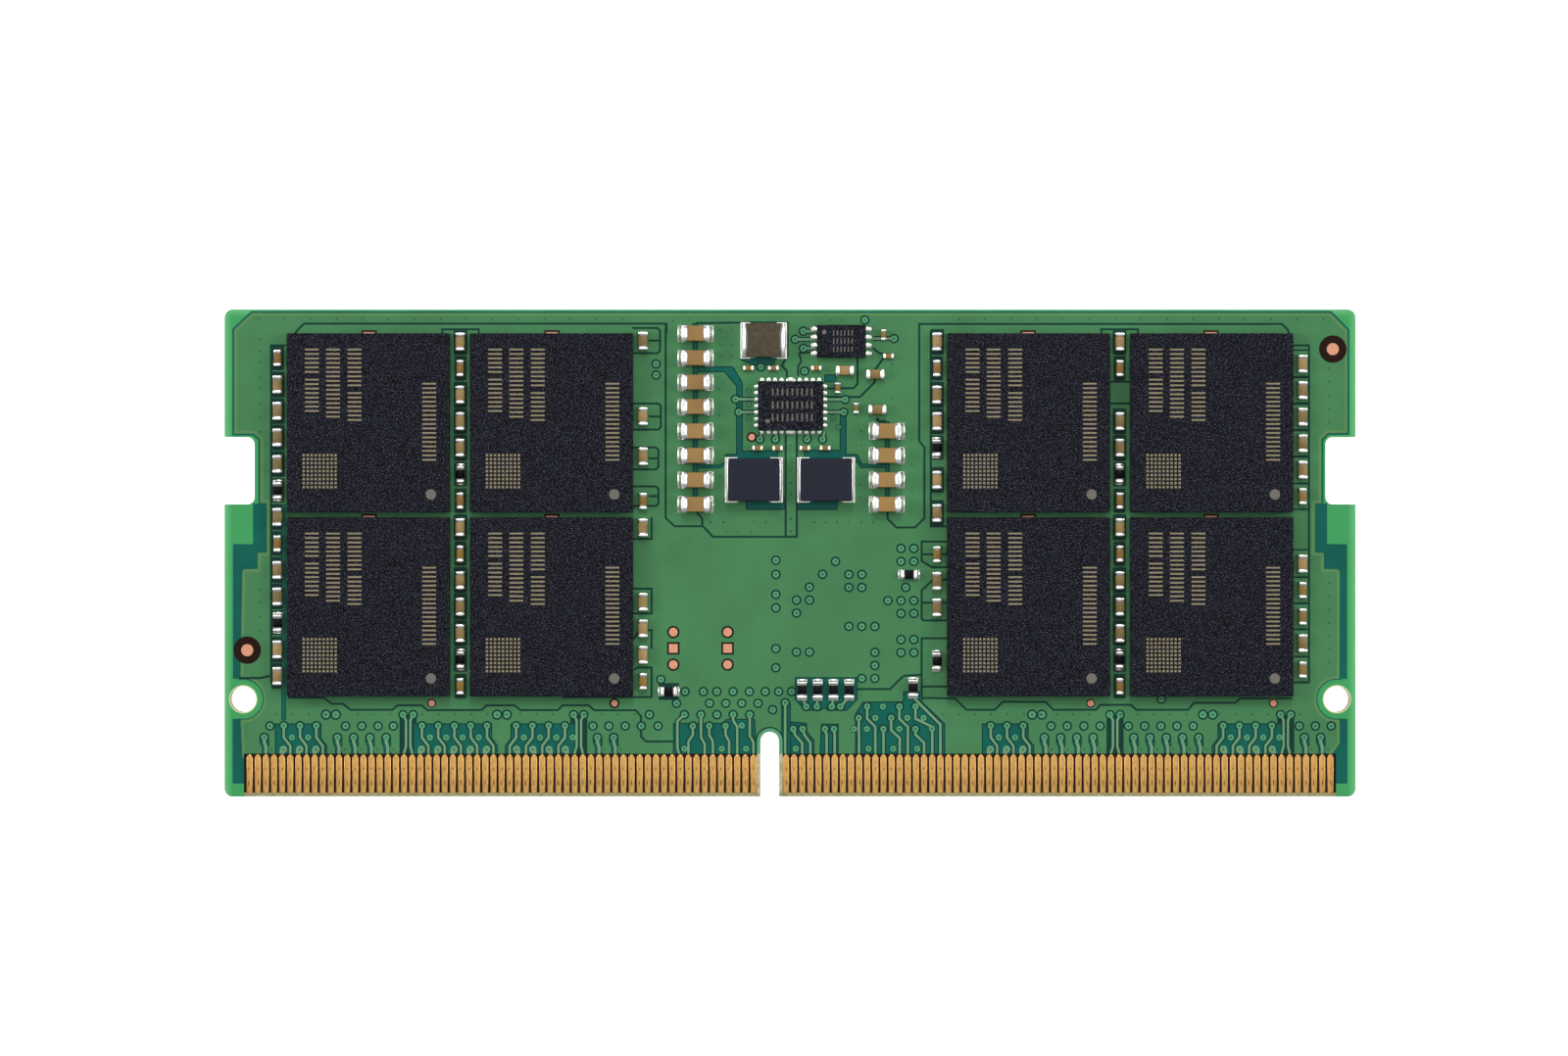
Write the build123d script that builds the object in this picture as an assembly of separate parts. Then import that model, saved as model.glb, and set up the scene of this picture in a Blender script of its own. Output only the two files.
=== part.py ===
"""Small-outline memory module: a flat circuit board with a keyed contact edge,
eight memory packages, a power manager with its inductors, and chip passives.

Units are millimetres. +X runs along the board, +Y points away from the contact
edge, and +Z points out of the populated face. The origin is under the centre of
the board, on the lowest face. Layout values called "down" are measured from the
board's top edge towards the contact edge.
"""
from build123d import *
from math import floor
import os

# ---- board ----
board_length = 69.6
board_height = 30.0
board_corner_radius = 0.5
laminate_thickness = 1.12
film_thickness = 0.04          # solder mask, and the gold plated contacts beside it
edge_bevel_run = 0.20
edge_bevel_depth = 0.16

# ---- contact edge ----
contact_pitch = 0.5
contact_width = 0.37
contact_length = 2.4
contact_edge_gap = 0.2
contact_tip_chamfer = 0.09
contact_side_margin = 1.55
contact_mask_gap = 0.05
contact_mask_side_gap = 0.17
key_offset = -1.25
key_width = 1.15
key_depth = 4.0

# ---- latch notches and locating holes ----
latch_notch_width = 4.15
latch_notch_depth = 1.85
latch_notch_radius = 0.45
latch_notch_down = 9.925
locating_hole_radius = 0.8
locating_hole_inset = 1.15
locating_hole_rise = 6.0

# ---- label on the rear ----
label_thickness = 0.10
label_length = 52.0
label_height = 15.0
label_corner_radius = 1.0
label_down = 14.0

# ---- memory packages ----
memory_width = 10.0
memory_height = 11.0
memory_side_margin = 3.9
memory_top_margin = 1.5
memory_column_gap = 1.25
memory_row_gap = 0.3
memory_substrate_thickness = 0.18
memory_mould_thickness = 0.55
memory_die_width = 7.6
memory_die_height = 8.6
memory_die_thickness = 0.15
ball_radius = 0.22
ball_standoff = 0.27
ball_pitch = 0.8
ball_rows = 13
ball_column_steps = (2, 3, 4)  # columns each side of the middle, in ball pitches
ball_support_step = 5          # the four support balls stand one pitch outside

# ---- power manager ----
manager_width = 4.0
manager_height = 3.0
manager_thickness = 0.75
manager_x = 0.04
manager_down = 5.95
manager_land_pitch = 0.4
manager_side_lands = 7
manager_row_lands = 4          # lands each side of the wide middle land
manager_row_start = 0.56
manager_middle_land = 0.5
manager_pad_width = 2.4
manager_pad_height = 1.4
manager_die = (2.6, 1.8, 0.2)

# ---- interface hub ----
hub_width = 3.0
hub_height = 2.0
hub_thickness = 0.55
hub_x = 3.15
hub_down = 1.97
hub_land_pitch = 0.5
hub_lands_per_side = 4
hub_pad_width = 1.5
hub_pad_height = 1.3
hub_die = (1.5, 1.1, 0.18)

# ---- leadless package lands ----
land_width = 0.2
land_length = 0.35
land_thickness = 0.16
die_attach_gap = 0.02

# ---- moulded power inductors ----
power_inductor_length = 3.3
power_inductor_width = 2.65
power_inductor_height = 1.2
power_inductor_x = 2.22
power_inductor_down = 10.5
input_inductor_length = 2.6
input_inductor_width = 2.1
input_inductor_height = 1.0
input_inductor_x = -1.62
input_inductor_down = 1.92
inductor_terminal = 0.1
inductor_flange = 0.7
inductor_corner_radius = 0.12
coil_wire_width = 0.28
coil_wire_height = 0.5
coil_margin = 0.3

# ---- chip passives: length, width, height, end band ----
cap_0603 = (1.75, 0.95, 0.9, 0.38)
cap_0402_wide = (1.1, 0.6, 0.55, 0.24)
cap_0402_slim = (1.0, 0.5, 0.5, 0.22)
cap_0201 = (0.62, 0.32, 0.3, 0.16)
resistor_0402 = (1.0, 0.52, 0.33, 0.22)
end_metal = 0.02
overcoat_thickness = 0.03

# ---- solder ----
solder_film = 0.03
solder_toe = 0.2
solder_climb = 0.55            # share of the terminal's height that the fillet wets
land_solder_toe = 0.16

# ---- bare copper marks ----
fiducial_dot_radius = 0.37
fiducial_clearing_radius = 0.85
fiducial_inset = 1.4
left_fiducial_rise = 9.02
right_fiducial_down = 2.45
test_pad_radius = 0.27
test_pad_clearance = 0.09
test_pad_pitch = 1.0
test_pad_columns = (-7.18, -3.84)
test_pad_down = 20.87
probe_pad_radius = 0.2
probe_pad_drop = 0.45
probe_pad_shift = 3.85
manager_probe_pad = (-2.36, 7.86)
witness_pad_size = (0.72, 0.4)
witness_pad_overhang = 0.1

# ---- derived levels ----
half_length = board_length / 2
half_height = board_height / 2
rear_film_bottom = label_thickness
laminate_bottom = rear_film_bottom + film_thickness
laminate_top = laminate_bottom + laminate_thickness
front_top = laminate_top + film_thickness
part_seat = front_top + solder_film

# ---- derived layout ----
memory_outer_x = half_length - memory_side_margin - memory_width / 2
memory_inner_x = memory_outer_x - memory_width - memory_column_gap
memory_columns = (-memory_outer_x, -memory_inner_x, memory_inner_x, memory_outer_x)
memory_top_y = half_height - memory_top_margin - memory_height / 2
memory_rows = (memory_top_y, memory_top_y - memory_height - memory_row_gap)

# Columns of 0402 parts beside the memory packages. Each run is its column, how far
# down its first part is, and its parts from the top: w wide capacitor, s slim
# capacitor, r resistor, and a dot where the footprint is empty.
column_pitch = 1.63
column_gap = 0.6
outer_column = memory_outer_x + memory_width / 2 + column_gap
middle_column = memory_outer_x - memory_width / 2 - memory_column_gap / 2
inner_column = memory_inner_x - memory_width / 2 - column_gap
column_runs = [
    (-outer_column, 3.0, "swwwwrwswwrww"),
    (-middle_column, 2.0, "wswwwrswswwwrs"),
    (-inner_column, 1.95, "w"),
    (-inner_column, 6.58, "w"),
    (-inner_column, 9.05, "w"),
    (-inner_column, 11.8, "sw"),
    (-inner_column, 18.0, "wwws"),
    (inner_column, 2.0, "wswwr"),
    (inner_column, 10.5, "w"),
    (inner_column, 12.54, "w"),
    (inner_column, 15.08, "sww"),
    (inner_column, 21.64, "r"),
    (middle_column, 2.0, "ws.wwrswswwwrs"),
    (outer_column, 3.36, "wwwwws"),
    (outer_column, 15.65, "wssws"),
]

# Larger input and output capacitors, stacked in two columns.
bulk_pitch = 1.5
bulk_columns = [(-5.81, 1.5, 8), (5.95, 7.5, 4)]

# Single parts round the power manager: x, down, and the turn about +Z.
row_resistor_x = 0.74
row_resistor_pitch = 0.965
row_resistor_count = 4
row_resistor_down = 23.42
single_resistors = [(7.32, 16.32, 0), (-7.46, 23.52, 0), (7.57, 23.3, 90)]
single_wide_caps = [(3.37, 3.76, 0), (5.24, 4.0, 0), (5.37, 6.17, 0)]
tiny_caps = [
    (-2.56, 3.62, 0), (-1.02, 3.62, 0), (1.62, 3.62, 0), (6.06, 2.88, 0),
    (-2.0, 8.55, 0), (-0.76, 8.55, 0), (0.91, 8.55, 0), (2.16, 8.55, 0),
    (5.76, 1.57, 90), (2.93, 4.84, 90), (4.06, 6.08, 90),
]


def down(distance):
    """Y of a point that lies this far below the top edge."""
    return half_height - distance


def block(length, width, height, x=0, y=0, z=0):
    """A box centred on (x, y) that stands on the level z."""
    return Pos(x, y, z + height / 2) * Box(length, width, height)


def plate(sketch, z, thickness):
    """A flat sketch given a thickness upwards from the level z."""
    return extrude(Pos(0, 0, z) * sketch, amount=thickness)


def save(name, solids):
    """Write one sub-part, which may hold several separate solids."""
    export_step(Compound(list(solids)), f"parts/{name}.step")


# ---- board and its films ----
def key_slot():
    """Round-ended key notch, open at the contact edge."""
    radius = key_width / 2
    straight = key_depth - radius
    slot = Pos(key_offset, -half_height + straight / 2) * Rectangle(key_width, straight)
    slot += Pos(key_offset, -half_height + straight) * Circle(radius)
    return slot


def board_sketch():
    """Board outline with its two latch notches and key notch, without the holes."""
    outline = RectangleRounded(board_length, board_height, board_corner_radius)
    notch = RectangleRounded(2 * latch_notch_depth, latch_notch_width, latch_notch_radius)
    for side in (-1, 1):
        outline -= Pos(side * half_length, down(latch_notch_down)) * notch
    return outline - key_slot()


def hole_centres():
    """The two locating holes, left and right."""
    x = half_length - locating_hole_inset
    y = -half_height + locating_hole_rise
    return [(-x, y), (x, y)]


def circuit_board():
    """Laminate core, bevelled on both sides of its contact edge."""
    sketch = board_sketch()
    for x, y in hole_centres():
        sketch -= Pos(x, y) * Circle(locating_hole_radius)
    board = plate(sketch, laminate_bottom, laminate_thickness)
    y0 = -half_height
    for level, inward in ((laminate_bottom, 1), (laminate_top, -1)):
        corner = [(y0, level), (y0 + edge_bevel_run, level),
                  (y0, level + inward * edge_bevel_depth)]
        wedge = extrude(Plane.YZ * Polygon(*corner, align=None), amount=half_length, both=True)
        board -= wedge
    return board


def solder_mask(level, openings):
    """Mask film over one face, clear of the contacts, the holes and the openings."""
    zone_height = contact_edge_gap + contact_length + contact_mask_gap
    centres = contact_centres()
    zone_length = centres[-1] - centres[0] + contact_width + 2 * contact_mask_side_gap
    zone_middle = (centres[0] + centres[-1]) / 2
    sketch = board_sketch()
    sketch -= Pos(zone_middle, -half_height + zone_height / 2) * Rectangle(zone_length, zone_height)
    for x, y in hole_centres():
        sketch -= Pos(x, y) * Circle(locating_hole_radius)
    for opening in openings:
        sketch -= opening
    return plate(sketch, level, film_thickness)


def contact_centres():
    """X of every contact: a run each side of the key, as long as the board allows."""
    reach = half_length - contact_side_margin
    first_gap = 2 * contact_pitch
    left_start = key_offset - first_gap
    right_start = key_offset + first_gap
    left_count = floor((reach + left_start) / contact_pitch + 1e-6) + 1
    right_count = floor((reach - right_start) / contact_pitch + 1e-6) + 1
    left = [left_start - contact_pitch * n for n in range(left_count)]
    right = [right_start + contact_pitch * n for n in range(right_count)]
    return sorted(left + right)


def contacts(level):
    """Gold plated contacts of one face, with chamfered inner ends."""
    side = contact_width / 2
    low = -half_height + contact_edge_gap
    high = low + contact_length
    points = [(-side, low), (side, low), (side, high - contact_tip_chamfer),
              (side - contact_tip_chamfer, high), (contact_tip_chamfer - side, high),
              (-side, high - contact_tip_chamfer)]
    finger = plate(Polygon(*points, align=None), level, film_thickness)
    return [Pos(x, 0, 0) * finger for x in contact_centres()]


def rear_label():
    """Thin paper label stuck to the rear mask."""
    sketch = Pos(0, down(label_down)) * RectangleRounded(label_length, label_height, label_corner_radius)
    return plate(sketch, 0, label_thickness)


# ---- bare copper marks ----
def fiducial_centres():
    """Two placement marks: low on the left side and high on the right side."""
    x = half_length - fiducial_inset
    return [(-x, -half_height + left_fiducial_rise), (x, down(right_fiducial_down))]


def test_pad_sketches(grow):
    """Every bare test pad as a sketch, grown by a clearance."""
    pads = []
    radius = test_pad_radius + grow
    for x in test_pad_columns:
        middle = Pos(x, down(test_pad_down))
        pads.append(middle * Rectangle(2 * radius, 2 * radius))
        pads.append(middle * Pos(0, test_pad_pitch) * Circle(radius))
        pads.append(middle * Pos(0, -test_pad_pitch) * Circle(radius))
    pads.append(Pos(manager_probe_pad[0], down(manager_probe_pad[1])) * Circle(probe_pad_radius + grow))
    low_edge = memory_rows[-1] - memory_height / 2
    width, height = witness_pad_size
    for x in memory_columns:
        pads.append(Pos(x + probe_pad_shift, low_edge - probe_pad_drop) * Circle(probe_pad_radius + grow))
        for row in memory_rows:
            y = row + memory_height / 2 + witness_pad_overhang - height / 2
            pads.append(Pos(x, y) * Rectangle(width + 2 * grow, height + 2 * grow))
    return pads


def fiducial_marks():
    """Bare copper dots in the mask clearings."""
    return [plate(Pos(x, y) * Circle(fiducial_dot_radius), laminate_top, film_thickness)
            for x, y in fiducial_centres()]


def test_pads():
    """Bare copper test pads, level with the mask."""
    return [plate(pad, laminate_top, film_thickness) for pad in test_pad_sketches(0)]


# ---- memory packages ----
def ball_centres():
    """Two banks of three columns, and four support balls outside the end rows."""
    half_span = (ball_rows - 1) / 2
    places = []
    for side in (-1, 1):
        for step in ball_column_steps:
            for row in range(ball_rows):
                places.append((side * step * ball_pitch, (row - half_span) * ball_pitch))
        for end in (-1, 1):
            places.append((side * ball_support_step * ball_pitch, end * half_span * ball_pitch))
    return places


def memory_package(x, y):
    """Mould, substrate, balls and die of one memory package centred on (x, y)."""
    substrate_bottom = front_top + ball_standoff
    substrate_top = substrate_bottom + memory_substrate_thickness
    ball = Pos(0, 0, front_top + ball_standoff / 2) * Sphere(ball_radius)
    ball &= block(4 * ball_radius, 4 * ball_radius, ball_standoff, z=front_top)
    balls = [Pos(x + dx, y + dy, 0) * ball for dx, dy in ball_centres()]
    substrate = block(memory_width, memory_height, memory_substrate_thickness, x, y, substrate_bottom)
    die = block(memory_die_width, memory_die_height, memory_die_thickness, x, y, substrate_top)
    mould = block(memory_width, memory_height, memory_mould_thickness, x, y, substrate_top) - die
    return mould, substrate, balls, die


# ---- leadless packages ----
def edge_land(x, y, turn, width, level, thickness):
    """A land whose outer end lies on the package side at (x, y), facing the turn."""
    return Pos(x, y) * Rot(0, 0, turn) * block(land_length, width, thickness, -land_length / 2, 0, level)


def toe_joint(x, y, turn, width):
    """Solder under one land and the fillet that climbs its outer end."""
    climb = land_thickness * solder_climb
    profile = Polygon((-land_length, front_top), (land_solder_toe, front_top),
                      (0, part_seat + climb), (0, part_seat), (-land_length, part_seat), align=None)
    joint = extrude(Plane.XZ * profile, amount=width / 2, both=True)
    return Pos(x, y) * Rot(0, 0, turn) * joint


def leadless_package(x, y, size, edge_places, pad, die_size):
    """Mould, lands, die and joints of a leadless package.

    edge_places lists (x, y, turn, width) of each land on the package's sides."""
    width, height, thickness = size
    lands = [edge_land(x + px, y + py, turn, w, part_seat, land_thickness)
             for px, py, turn, w in edge_places]
    lands.append(block(pad[0], pad[1], land_thickness, x, y, part_seat))
    die_level = part_seat + land_thickness + die_attach_gap
    die = block(*die_size, x, y, die_level)
    mould = block(width, height, thickness, x, y, part_seat)
    for inner in lands + [die]:
        mould -= inner
    joints = [toe_joint(x + px, y + py, turn, w) for px, py, turn, w in edge_places]
    joints.append(block(pad[0], pad[1], solder_film, x, y, front_top))
    return mould, lands, die, joints


def power_manager():
    """Four-sided leadless package with a wide land in the middle of its long sides."""
    half_w = manager_width / 2
    half_h = manager_height / 2
    places = []
    for side in (-1, 1):
        for n in range(manager_side_lands):
            offset = (n - (manager_side_lands - 1) / 2) * manager_land_pitch
            places.append((side * half_w, offset, 0 if side > 0 else 180, land_width))
        for n in range(manager_row_lands):
            offset = manager_row_start + n * manager_land_pitch
            places.append((offset, side * half_h, side * 90, land_width))
            places.append((-offset, side * half_h, side * 90, land_width))
        places.append((0, side * half_h, side * 90, manager_middle_land))
    size = (manager_width, manager_height, manager_thickness)
    pad = (manager_pad_width, manager_pad_height)
    return leadless_package(manager_x, down(manager_down), size, places, pad, manager_die)


def interface_hub():
    """Two-sided leadless package."""
    places = []
    for side in (-1, 1):
        for n in range(hub_lands_per_side):
            offset = (n - (hub_lands_per_side - 1) / 2) * hub_land_pitch
            places.append((side * hub_width / 2, offset, 0 if side > 0 else 180, 1.3 * land_width))
    size = (hub_width, hub_height, hub_thickness)
    pad = (hub_pad_width, hub_pad_height)
    return leadless_package(hub_x, down(hub_down), size, places, pad, hub_die)


# ---- inductors ----
def end_joint(length, width, height, foot):
    """Solder under and against the +X end of a part that is this long, wide and high."""
    end = length / 2
    climb = height * solder_climb
    profile = Polygon((end - foot, front_top), (end + solder_toe, front_top), (end, part_seat + climb),
                      (end, part_seat), (end - foot, part_seat), align=None)
    return extrude(Plane.XZ * profile, amount=width / 2, both=True)


def both_ends(solid):
    """A solid and its half turn about Z."""
    return [solid, Rot(0, 0, 180) * solid]


def inductor(length, width, height, x, y):
    """Core, end terminals, coil and joints of a moulded inductor centred on (x, y)."""
    end = length / 2
    level = part_seat
    core_bottom = level + inductor_terminal
    core_height = height - inductor_terminal
    core = RectangleRounded(length - 2 * inductor_terminal, width, inductor_corner_radius)
    core = plate(core, core_bottom, core_height)
    wall = block(inductor_terminal, width, 0.85 * height, end - inductor_terminal / 2, 0, level)
    foot = block(inductor_flange, width, inductor_terminal, end - inductor_flange / 2, 0, level)
    coil_level = core_bottom + (core_height - coil_wire_height) / 2
    coil_length = length - 2 * (inductor_terminal + coil_margin)
    coil_width = width - 2 * coil_margin
    ring = RectangleRounded(coil_length, coil_width, 0.45 * coil_width)
    inside = 2 * coil_wire_width
    ring -= RectangleRounded(coil_length - inside, coil_width - inside, 0.45 * (coil_width - inside))
    coil = plate(ring, coil_level, coil_wire_height)
    lead_start = coil_length / 2 - coil_wire_width / 2
    lead_length = end - inductor_terminal - lead_start
    lead = block(lead_length, coil_wire_width, coil_wire_height, lead_start + lead_length / 2, 0, coil_level)
    for piece in both_ends(lead):
        coil += piece
    core -= coil
    terminals = both_ends(wall + foot)
    joints = both_ends(end_joint(length, width, height, inductor_flange))
    place = Pos(x, y)
    return (place * core, [place * t for t in terminals], place * coil, [place * j for j in joints])


# ---- chip passives ----
def chip_capacitor(size):
    """Ceramic block, two metal end caps and two joints, along X at the origin."""
    length, width, height, band = size
    inner = block(length - 2 * end_metal, width - 2 * end_metal, height - 2 * end_metal, z=part_seat + end_metal)
    cap = block(band, width, height, (length - band) / 2, 0, part_seat) - inner
    return inner, both_ends(cap), both_ends(end_joint(length, width, height, band))


def chip_resistor(size):
    """Ceramic plate, black overcoat, two metal ends and two joints, along X."""
    length, width, height, band = size
    plate_length = length - 2 * end_metal
    base = block(plate_length, width, height - 2 * end_metal, z=part_seat + end_metal)
    end = block(band, width, height, (length - band) / 2, 0, part_seat) - base
    coat = block(length - 2 * band, width, overcoat_thickness, z=part_seat + height - end_metal)
    return base, coat, both_ends(end), both_ends(end_joint(length, width, height, band))


def column_places(codes):
    """Centres of the column parts whose code is in codes, with their turn."""
    places = []
    for x, first, run in column_runs:
        for n, code in enumerate(run):
            if code in codes:
                places.append((x, first + n * column_pitch, 90))
    return places


def placed(solid, places):
    """Copies of a solid at each (x, down, turn)."""
    return [Pos(x, down(drop)) * Rot(0, 0, turn) * solid for x, drop, turn in places]


def spread(solids, places):
    """Copies of several solids at each place, in one list."""
    return [copy for solid in solids for copy in placed(solid, places)]


def resistor_places():
    """Column resistors, the row of four beside the key, and the single ones."""
    row = [(row_resistor_x + n * row_resistor_pitch, row_resistor_down, 90) for n in range(row_resistor_count)]
    return column_places("r") + row + single_resistors


def bulk_places():
    """Centres of the larger capacitors."""
    return [(x, first + n * bulk_pitch, 0) for x, first, count in bulk_columns for n in range(count)]


# ---- write every sub-part ----
os.makedirs("parts", exist_ok=True)
joints = []

clearings = [Pos(x, y) * Circle(fiducial_clearing_radius) for x, y in fiducial_centres()]
save("circuit_board", [circuit_board()])
save("front_solder_mask", [solder_mask(laminate_top, clearings + test_pad_sketches(test_pad_clearance))])
save("rear_solder_mask", [solder_mask(rear_film_bottom, [])])
save("front_contacts", contacts(laminate_top))
save("rear_contacts", contacts(rear_film_bottom))
save("fiducial_marks", fiducial_marks())
save("test_pads", test_pads())
save("rear_label", [rear_label()])

dies = []
centres = [(x, y) for y in memory_rows for x in memory_columns]
for number, (x, y) in enumerate(centres, start=1):
    mould, substrate, balls, die = memory_package(x, y)
    save(f"memory_{number}_mould", [mould])
    save(f"memory_{number}_substrate", [substrate])
    save(f"memory_{number}_balls", balls)
    dies.append(die)
save("memory_dies", dies)

for name, package in (("power_manager", power_manager()), ("interface_hub", interface_hub())):
    mould, lands, die, package_joints = package
    save(f"{name}_mould", [mould])
    save(f"{name}_lands", lands)
    save(f"{name}_die", [die])
    joints += package_joints

power_size = (power_inductor_length, power_inductor_width, power_inductor_height)
input_size = (input_inductor_length, input_inductor_width, input_inductor_height)
for name, size, x, drop in (("power_inductor_left", power_size, -power_inductor_x, power_inductor_down),
                            ("power_inductor_right", power_size, power_inductor_x, power_inductor_down),
                            ("input_inductor", input_size, input_inductor_x, input_inductor_down)):
    core, terminals, coil, inductor_joints = inductor(*size, x, down(drop))
    save(f"{name}_core", [core])
    save(f"{name}_terminals", terminals)
    save(f"{name}_coil", [coil])
    joints += inductor_joints

capacitor_groups = {
    "capacitor_0603": [(cap_0603, bulk_places())],
    "capacitor_0402": [(cap_0402_wide, column_places("w") + single_wide_caps),
                       (cap_0402_slim, column_places("s"))],
    "capacitor_0201": [(cap_0201, tiny_caps)],
}
for name, groups in capacitor_groups.items():
    bodies = []
    terminals = []
    for size, places in groups:
        body, ends, part_joints = chip_capacitor(size)
        bodies += placed(body, places)
        terminals += spread(ends, places)
        joints += spread(part_joints, places)
    save(f"{name}_bodies", bodies)
    save(f"{name}_terminals", terminals)

base, coat, ends, part_joints = chip_resistor(resistor_0402)
save("resistor_0402_bodies", placed(base, resistor_places()))
save("resistor_0402_overcoats", placed(coat, resistor_places()))
save("resistor_0402_terminals", spread(ends, resistor_places()))
joints += spread(part_joints, resistor_places())
save("solder_joints", joints)
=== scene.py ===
"""Looks of a small-outline memory module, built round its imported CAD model.

Every piece is made in metres in the CAD model's frame. Lengths in the code are in
millimetres until a shape is put into its mesh.
"""

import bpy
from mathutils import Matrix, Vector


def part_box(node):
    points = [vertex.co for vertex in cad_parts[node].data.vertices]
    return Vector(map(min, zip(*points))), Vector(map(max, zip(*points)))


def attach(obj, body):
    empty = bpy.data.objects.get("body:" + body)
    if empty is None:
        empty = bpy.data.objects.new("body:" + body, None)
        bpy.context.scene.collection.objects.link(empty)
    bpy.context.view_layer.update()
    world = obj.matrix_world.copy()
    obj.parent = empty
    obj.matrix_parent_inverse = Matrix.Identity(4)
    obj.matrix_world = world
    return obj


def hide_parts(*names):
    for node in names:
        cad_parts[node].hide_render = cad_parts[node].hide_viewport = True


bl_info = {
    "name": "Memory Module",
    "version": (1, 0, 0),
    "blender": (4, 5, 0),
    "location": "View3D > Sidebar > Module",
    "description": "Builds a memory module's mask relief, plating, packages and chip parts",
    "category": "Object",
}

from math import pi

import bpy
import numpy as np
from bpy.props import FloatProperty, FloatVectorProperty, PointerProperty
from mathutils import Vector
from mathutils.geometry import delaunay_2d_cdt

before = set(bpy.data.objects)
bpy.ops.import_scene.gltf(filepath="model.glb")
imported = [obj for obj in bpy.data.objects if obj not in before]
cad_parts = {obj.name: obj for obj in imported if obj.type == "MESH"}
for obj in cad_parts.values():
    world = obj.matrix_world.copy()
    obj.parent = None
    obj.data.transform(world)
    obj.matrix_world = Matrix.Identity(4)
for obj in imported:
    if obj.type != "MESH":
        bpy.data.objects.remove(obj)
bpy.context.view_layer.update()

MM = 0.001
BODY = "root"


def linear(hex_colour):
    """Linear RGBA of an sRGB hex value: a channel is a twelfth of itself near black,
    and elsewhere the usual 2.4 power curve."""
    channels = [int(hex_colour[i:i + 2], 16) / 255 for i in (0, 2, 4)]
    return tuple(c / 12.92 if c <= 0.04045 else ((c + 0.055) / 1.055) ** 2.4
                 for c in channels) + (1.0,)


def colour(name, description, hex_colour):
    """Colour property whose default is an sRGB hex value."""
    return FloatVectorProperty(name=name, description=description, default=linear(hex_colour),
                               subtype="COLOR", size=4, min=0.0, max=1.0)


def length(name, description, default):
    """Length property whose default is given in millimetres."""
    return FloatProperty(name=name, description=description, default=default * MM,
                         min=0.0, precision=6, subtype="DISTANCE", unit="LENGTH")


class ModuleSizes(bpy.types.PropertyGroup):
    """Sizes that change the look and not the module's own dimensions."""
    mask_step: length("Mask step", "Drop from masked copper to the bare laminate beside it", 0.022)
    finger_crown: length("Contact crown", "Rounding of a contact's long edges", 0.03)
    mould_rounding: length("Mould rounding", "Rounding of a moulded package's edges", 0.05)
    mark_height: length("Mark height", "How far a package mark stands above the mould", 0.004)
    camera_distance: length("Camera distance", "From the camera to the board's front", 402.0)
    camera_lens: FloatProperty(name="Lens", description="Focal length of the camera", default=150.0,
                               min=20.0, subtype="DISTANCE_CAMERA", unit="CAMERA")


class ModuleColours(bpy.types.PropertyGroup):
    """Colours of the module's main finishes."""
    pour: colour("Mask over copper", "Green of the mask where copper lies under it", "3E744A")
    pour_edge: colour("Mask at a copper edge", "Thin mask where a pour ends", "4F7A4A")
    # Paler than the pour over the same copper: painted highlight along the narrow tracks.
    track: colour("Mask over tracks", "Mask over narrow tracks", "628B68")
    bare: colour("Mask over laminate", "Mask where an inner layer shows dark", "00554A")
    # Besides the gaps, this fills the windows round the small parts, where it is also painted shade.
    gap: colour("Mask in a gap", "Mask in the narrow gaps between copper", "03332A")
    rim: colour("Lit laminate", "Mask over clear laminate near the board's edge", "388D52")
    # Paler than the pour over the same copper: painted highlight on the small pads.
    pad: colour("Mask over via pads", "Mask over the small round pads of vias", "4B8C66")
    gold: colour("Contact gold", "Plated contacts", "CA9C5A")
    copper: colour("Bare copper", "Test pads and placement marks", "C78A6C")
    mould: colour("Mould compound", "Memory and logic packages", "07080D")
    mark: colour("Package marks", "Marks burnt into the mould", "877C62")
    floor: colour("Floor", "Studio floor", "F4F4F4")


def sizes():
    """The scene's look sizes, in metres."""
    return bpy.context.scene.module_sizes


def palette():
    """The scene's colours."""
    return bpy.context.scene.module_colours


# ---- node places, in millimetres ----
def box_mm(node):
    """Lowest and highest corner of a node's box."""
    low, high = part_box(node)
    return np.array(low) / MM, np.array(high) / MM


def merged_triangles(node):
    """A node's distinct points and its triangles over them."""
    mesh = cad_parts[node].data
    points = np.empty(len(mesh.vertices) * 3, np.float32)
    mesh.vertices.foreach_get("co", points)
    mesh.calc_loop_triangles()
    corners = np.empty(len(mesh.loop_triangles) * 3, np.int32)
    mesh.loop_triangles.foreach_get("vertices", corners)
    places, same = np.unique(np.round(points.reshape(-1, 3).astype(float) / MM, 4), axis=0,
                             return_inverse=True)
    return places, same.ravel()[corners].reshape(-1, 3)


def islands(node):
    """Lowest and highest corners of a node's separate solids. Every point takes the lowest
    label of the triangles round it, again and again, until no label changes."""
    places, triangles = merged_triangles(node)
    label = np.arange(len(places))
    while True:
        lowest = np.repeat(label[triangles].min(axis=1), 3)
        lower = label.copy()
        np.minimum.at(lower, triangles.ravel(), lowest)
        lower = lower[lower]
        if (lower == label).all():
            break
        label = lower
    names, group = np.unique(label, return_inverse=True)
    low = np.full((len(names), 3), np.inf)
    high = -low
    np.minimum.at(low, group.ravel(), places)
    np.maximum.at(high, group.ravel(), places)
    return low, high


def flat_rings(node, level):
    """Closed outlines of a node's faces on one level: the triangle sides that no other
    triangle there shares, followed from end to end. The longest one comes first."""
    places, triangles = merged_triangles(node)
    on_level = (np.abs(places[triangles][:, :, 2] - level) < 1e-3).all(axis=1)
    flat = triangles[on_level]
    starts = flat.ravel()
    ends = np.roll(flat, -1, axis=1).ravel()
    size = len(places)
    alone = ~np.isin(starts * size + ends, ends * size + starts)
    following = dict(zip(starts[alone].tolist(), ends[alone].tolist()))
    rings = []
    while following:
        first, current = following.popitem()
        ring = [first]
        while current != first:
            ring.append(current)
            current = following.pop(current)
        rings.append(places[ring, :2])
    return sorted(rings, key=lambda ring: -np.ptp(ring[:, 0]))


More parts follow.
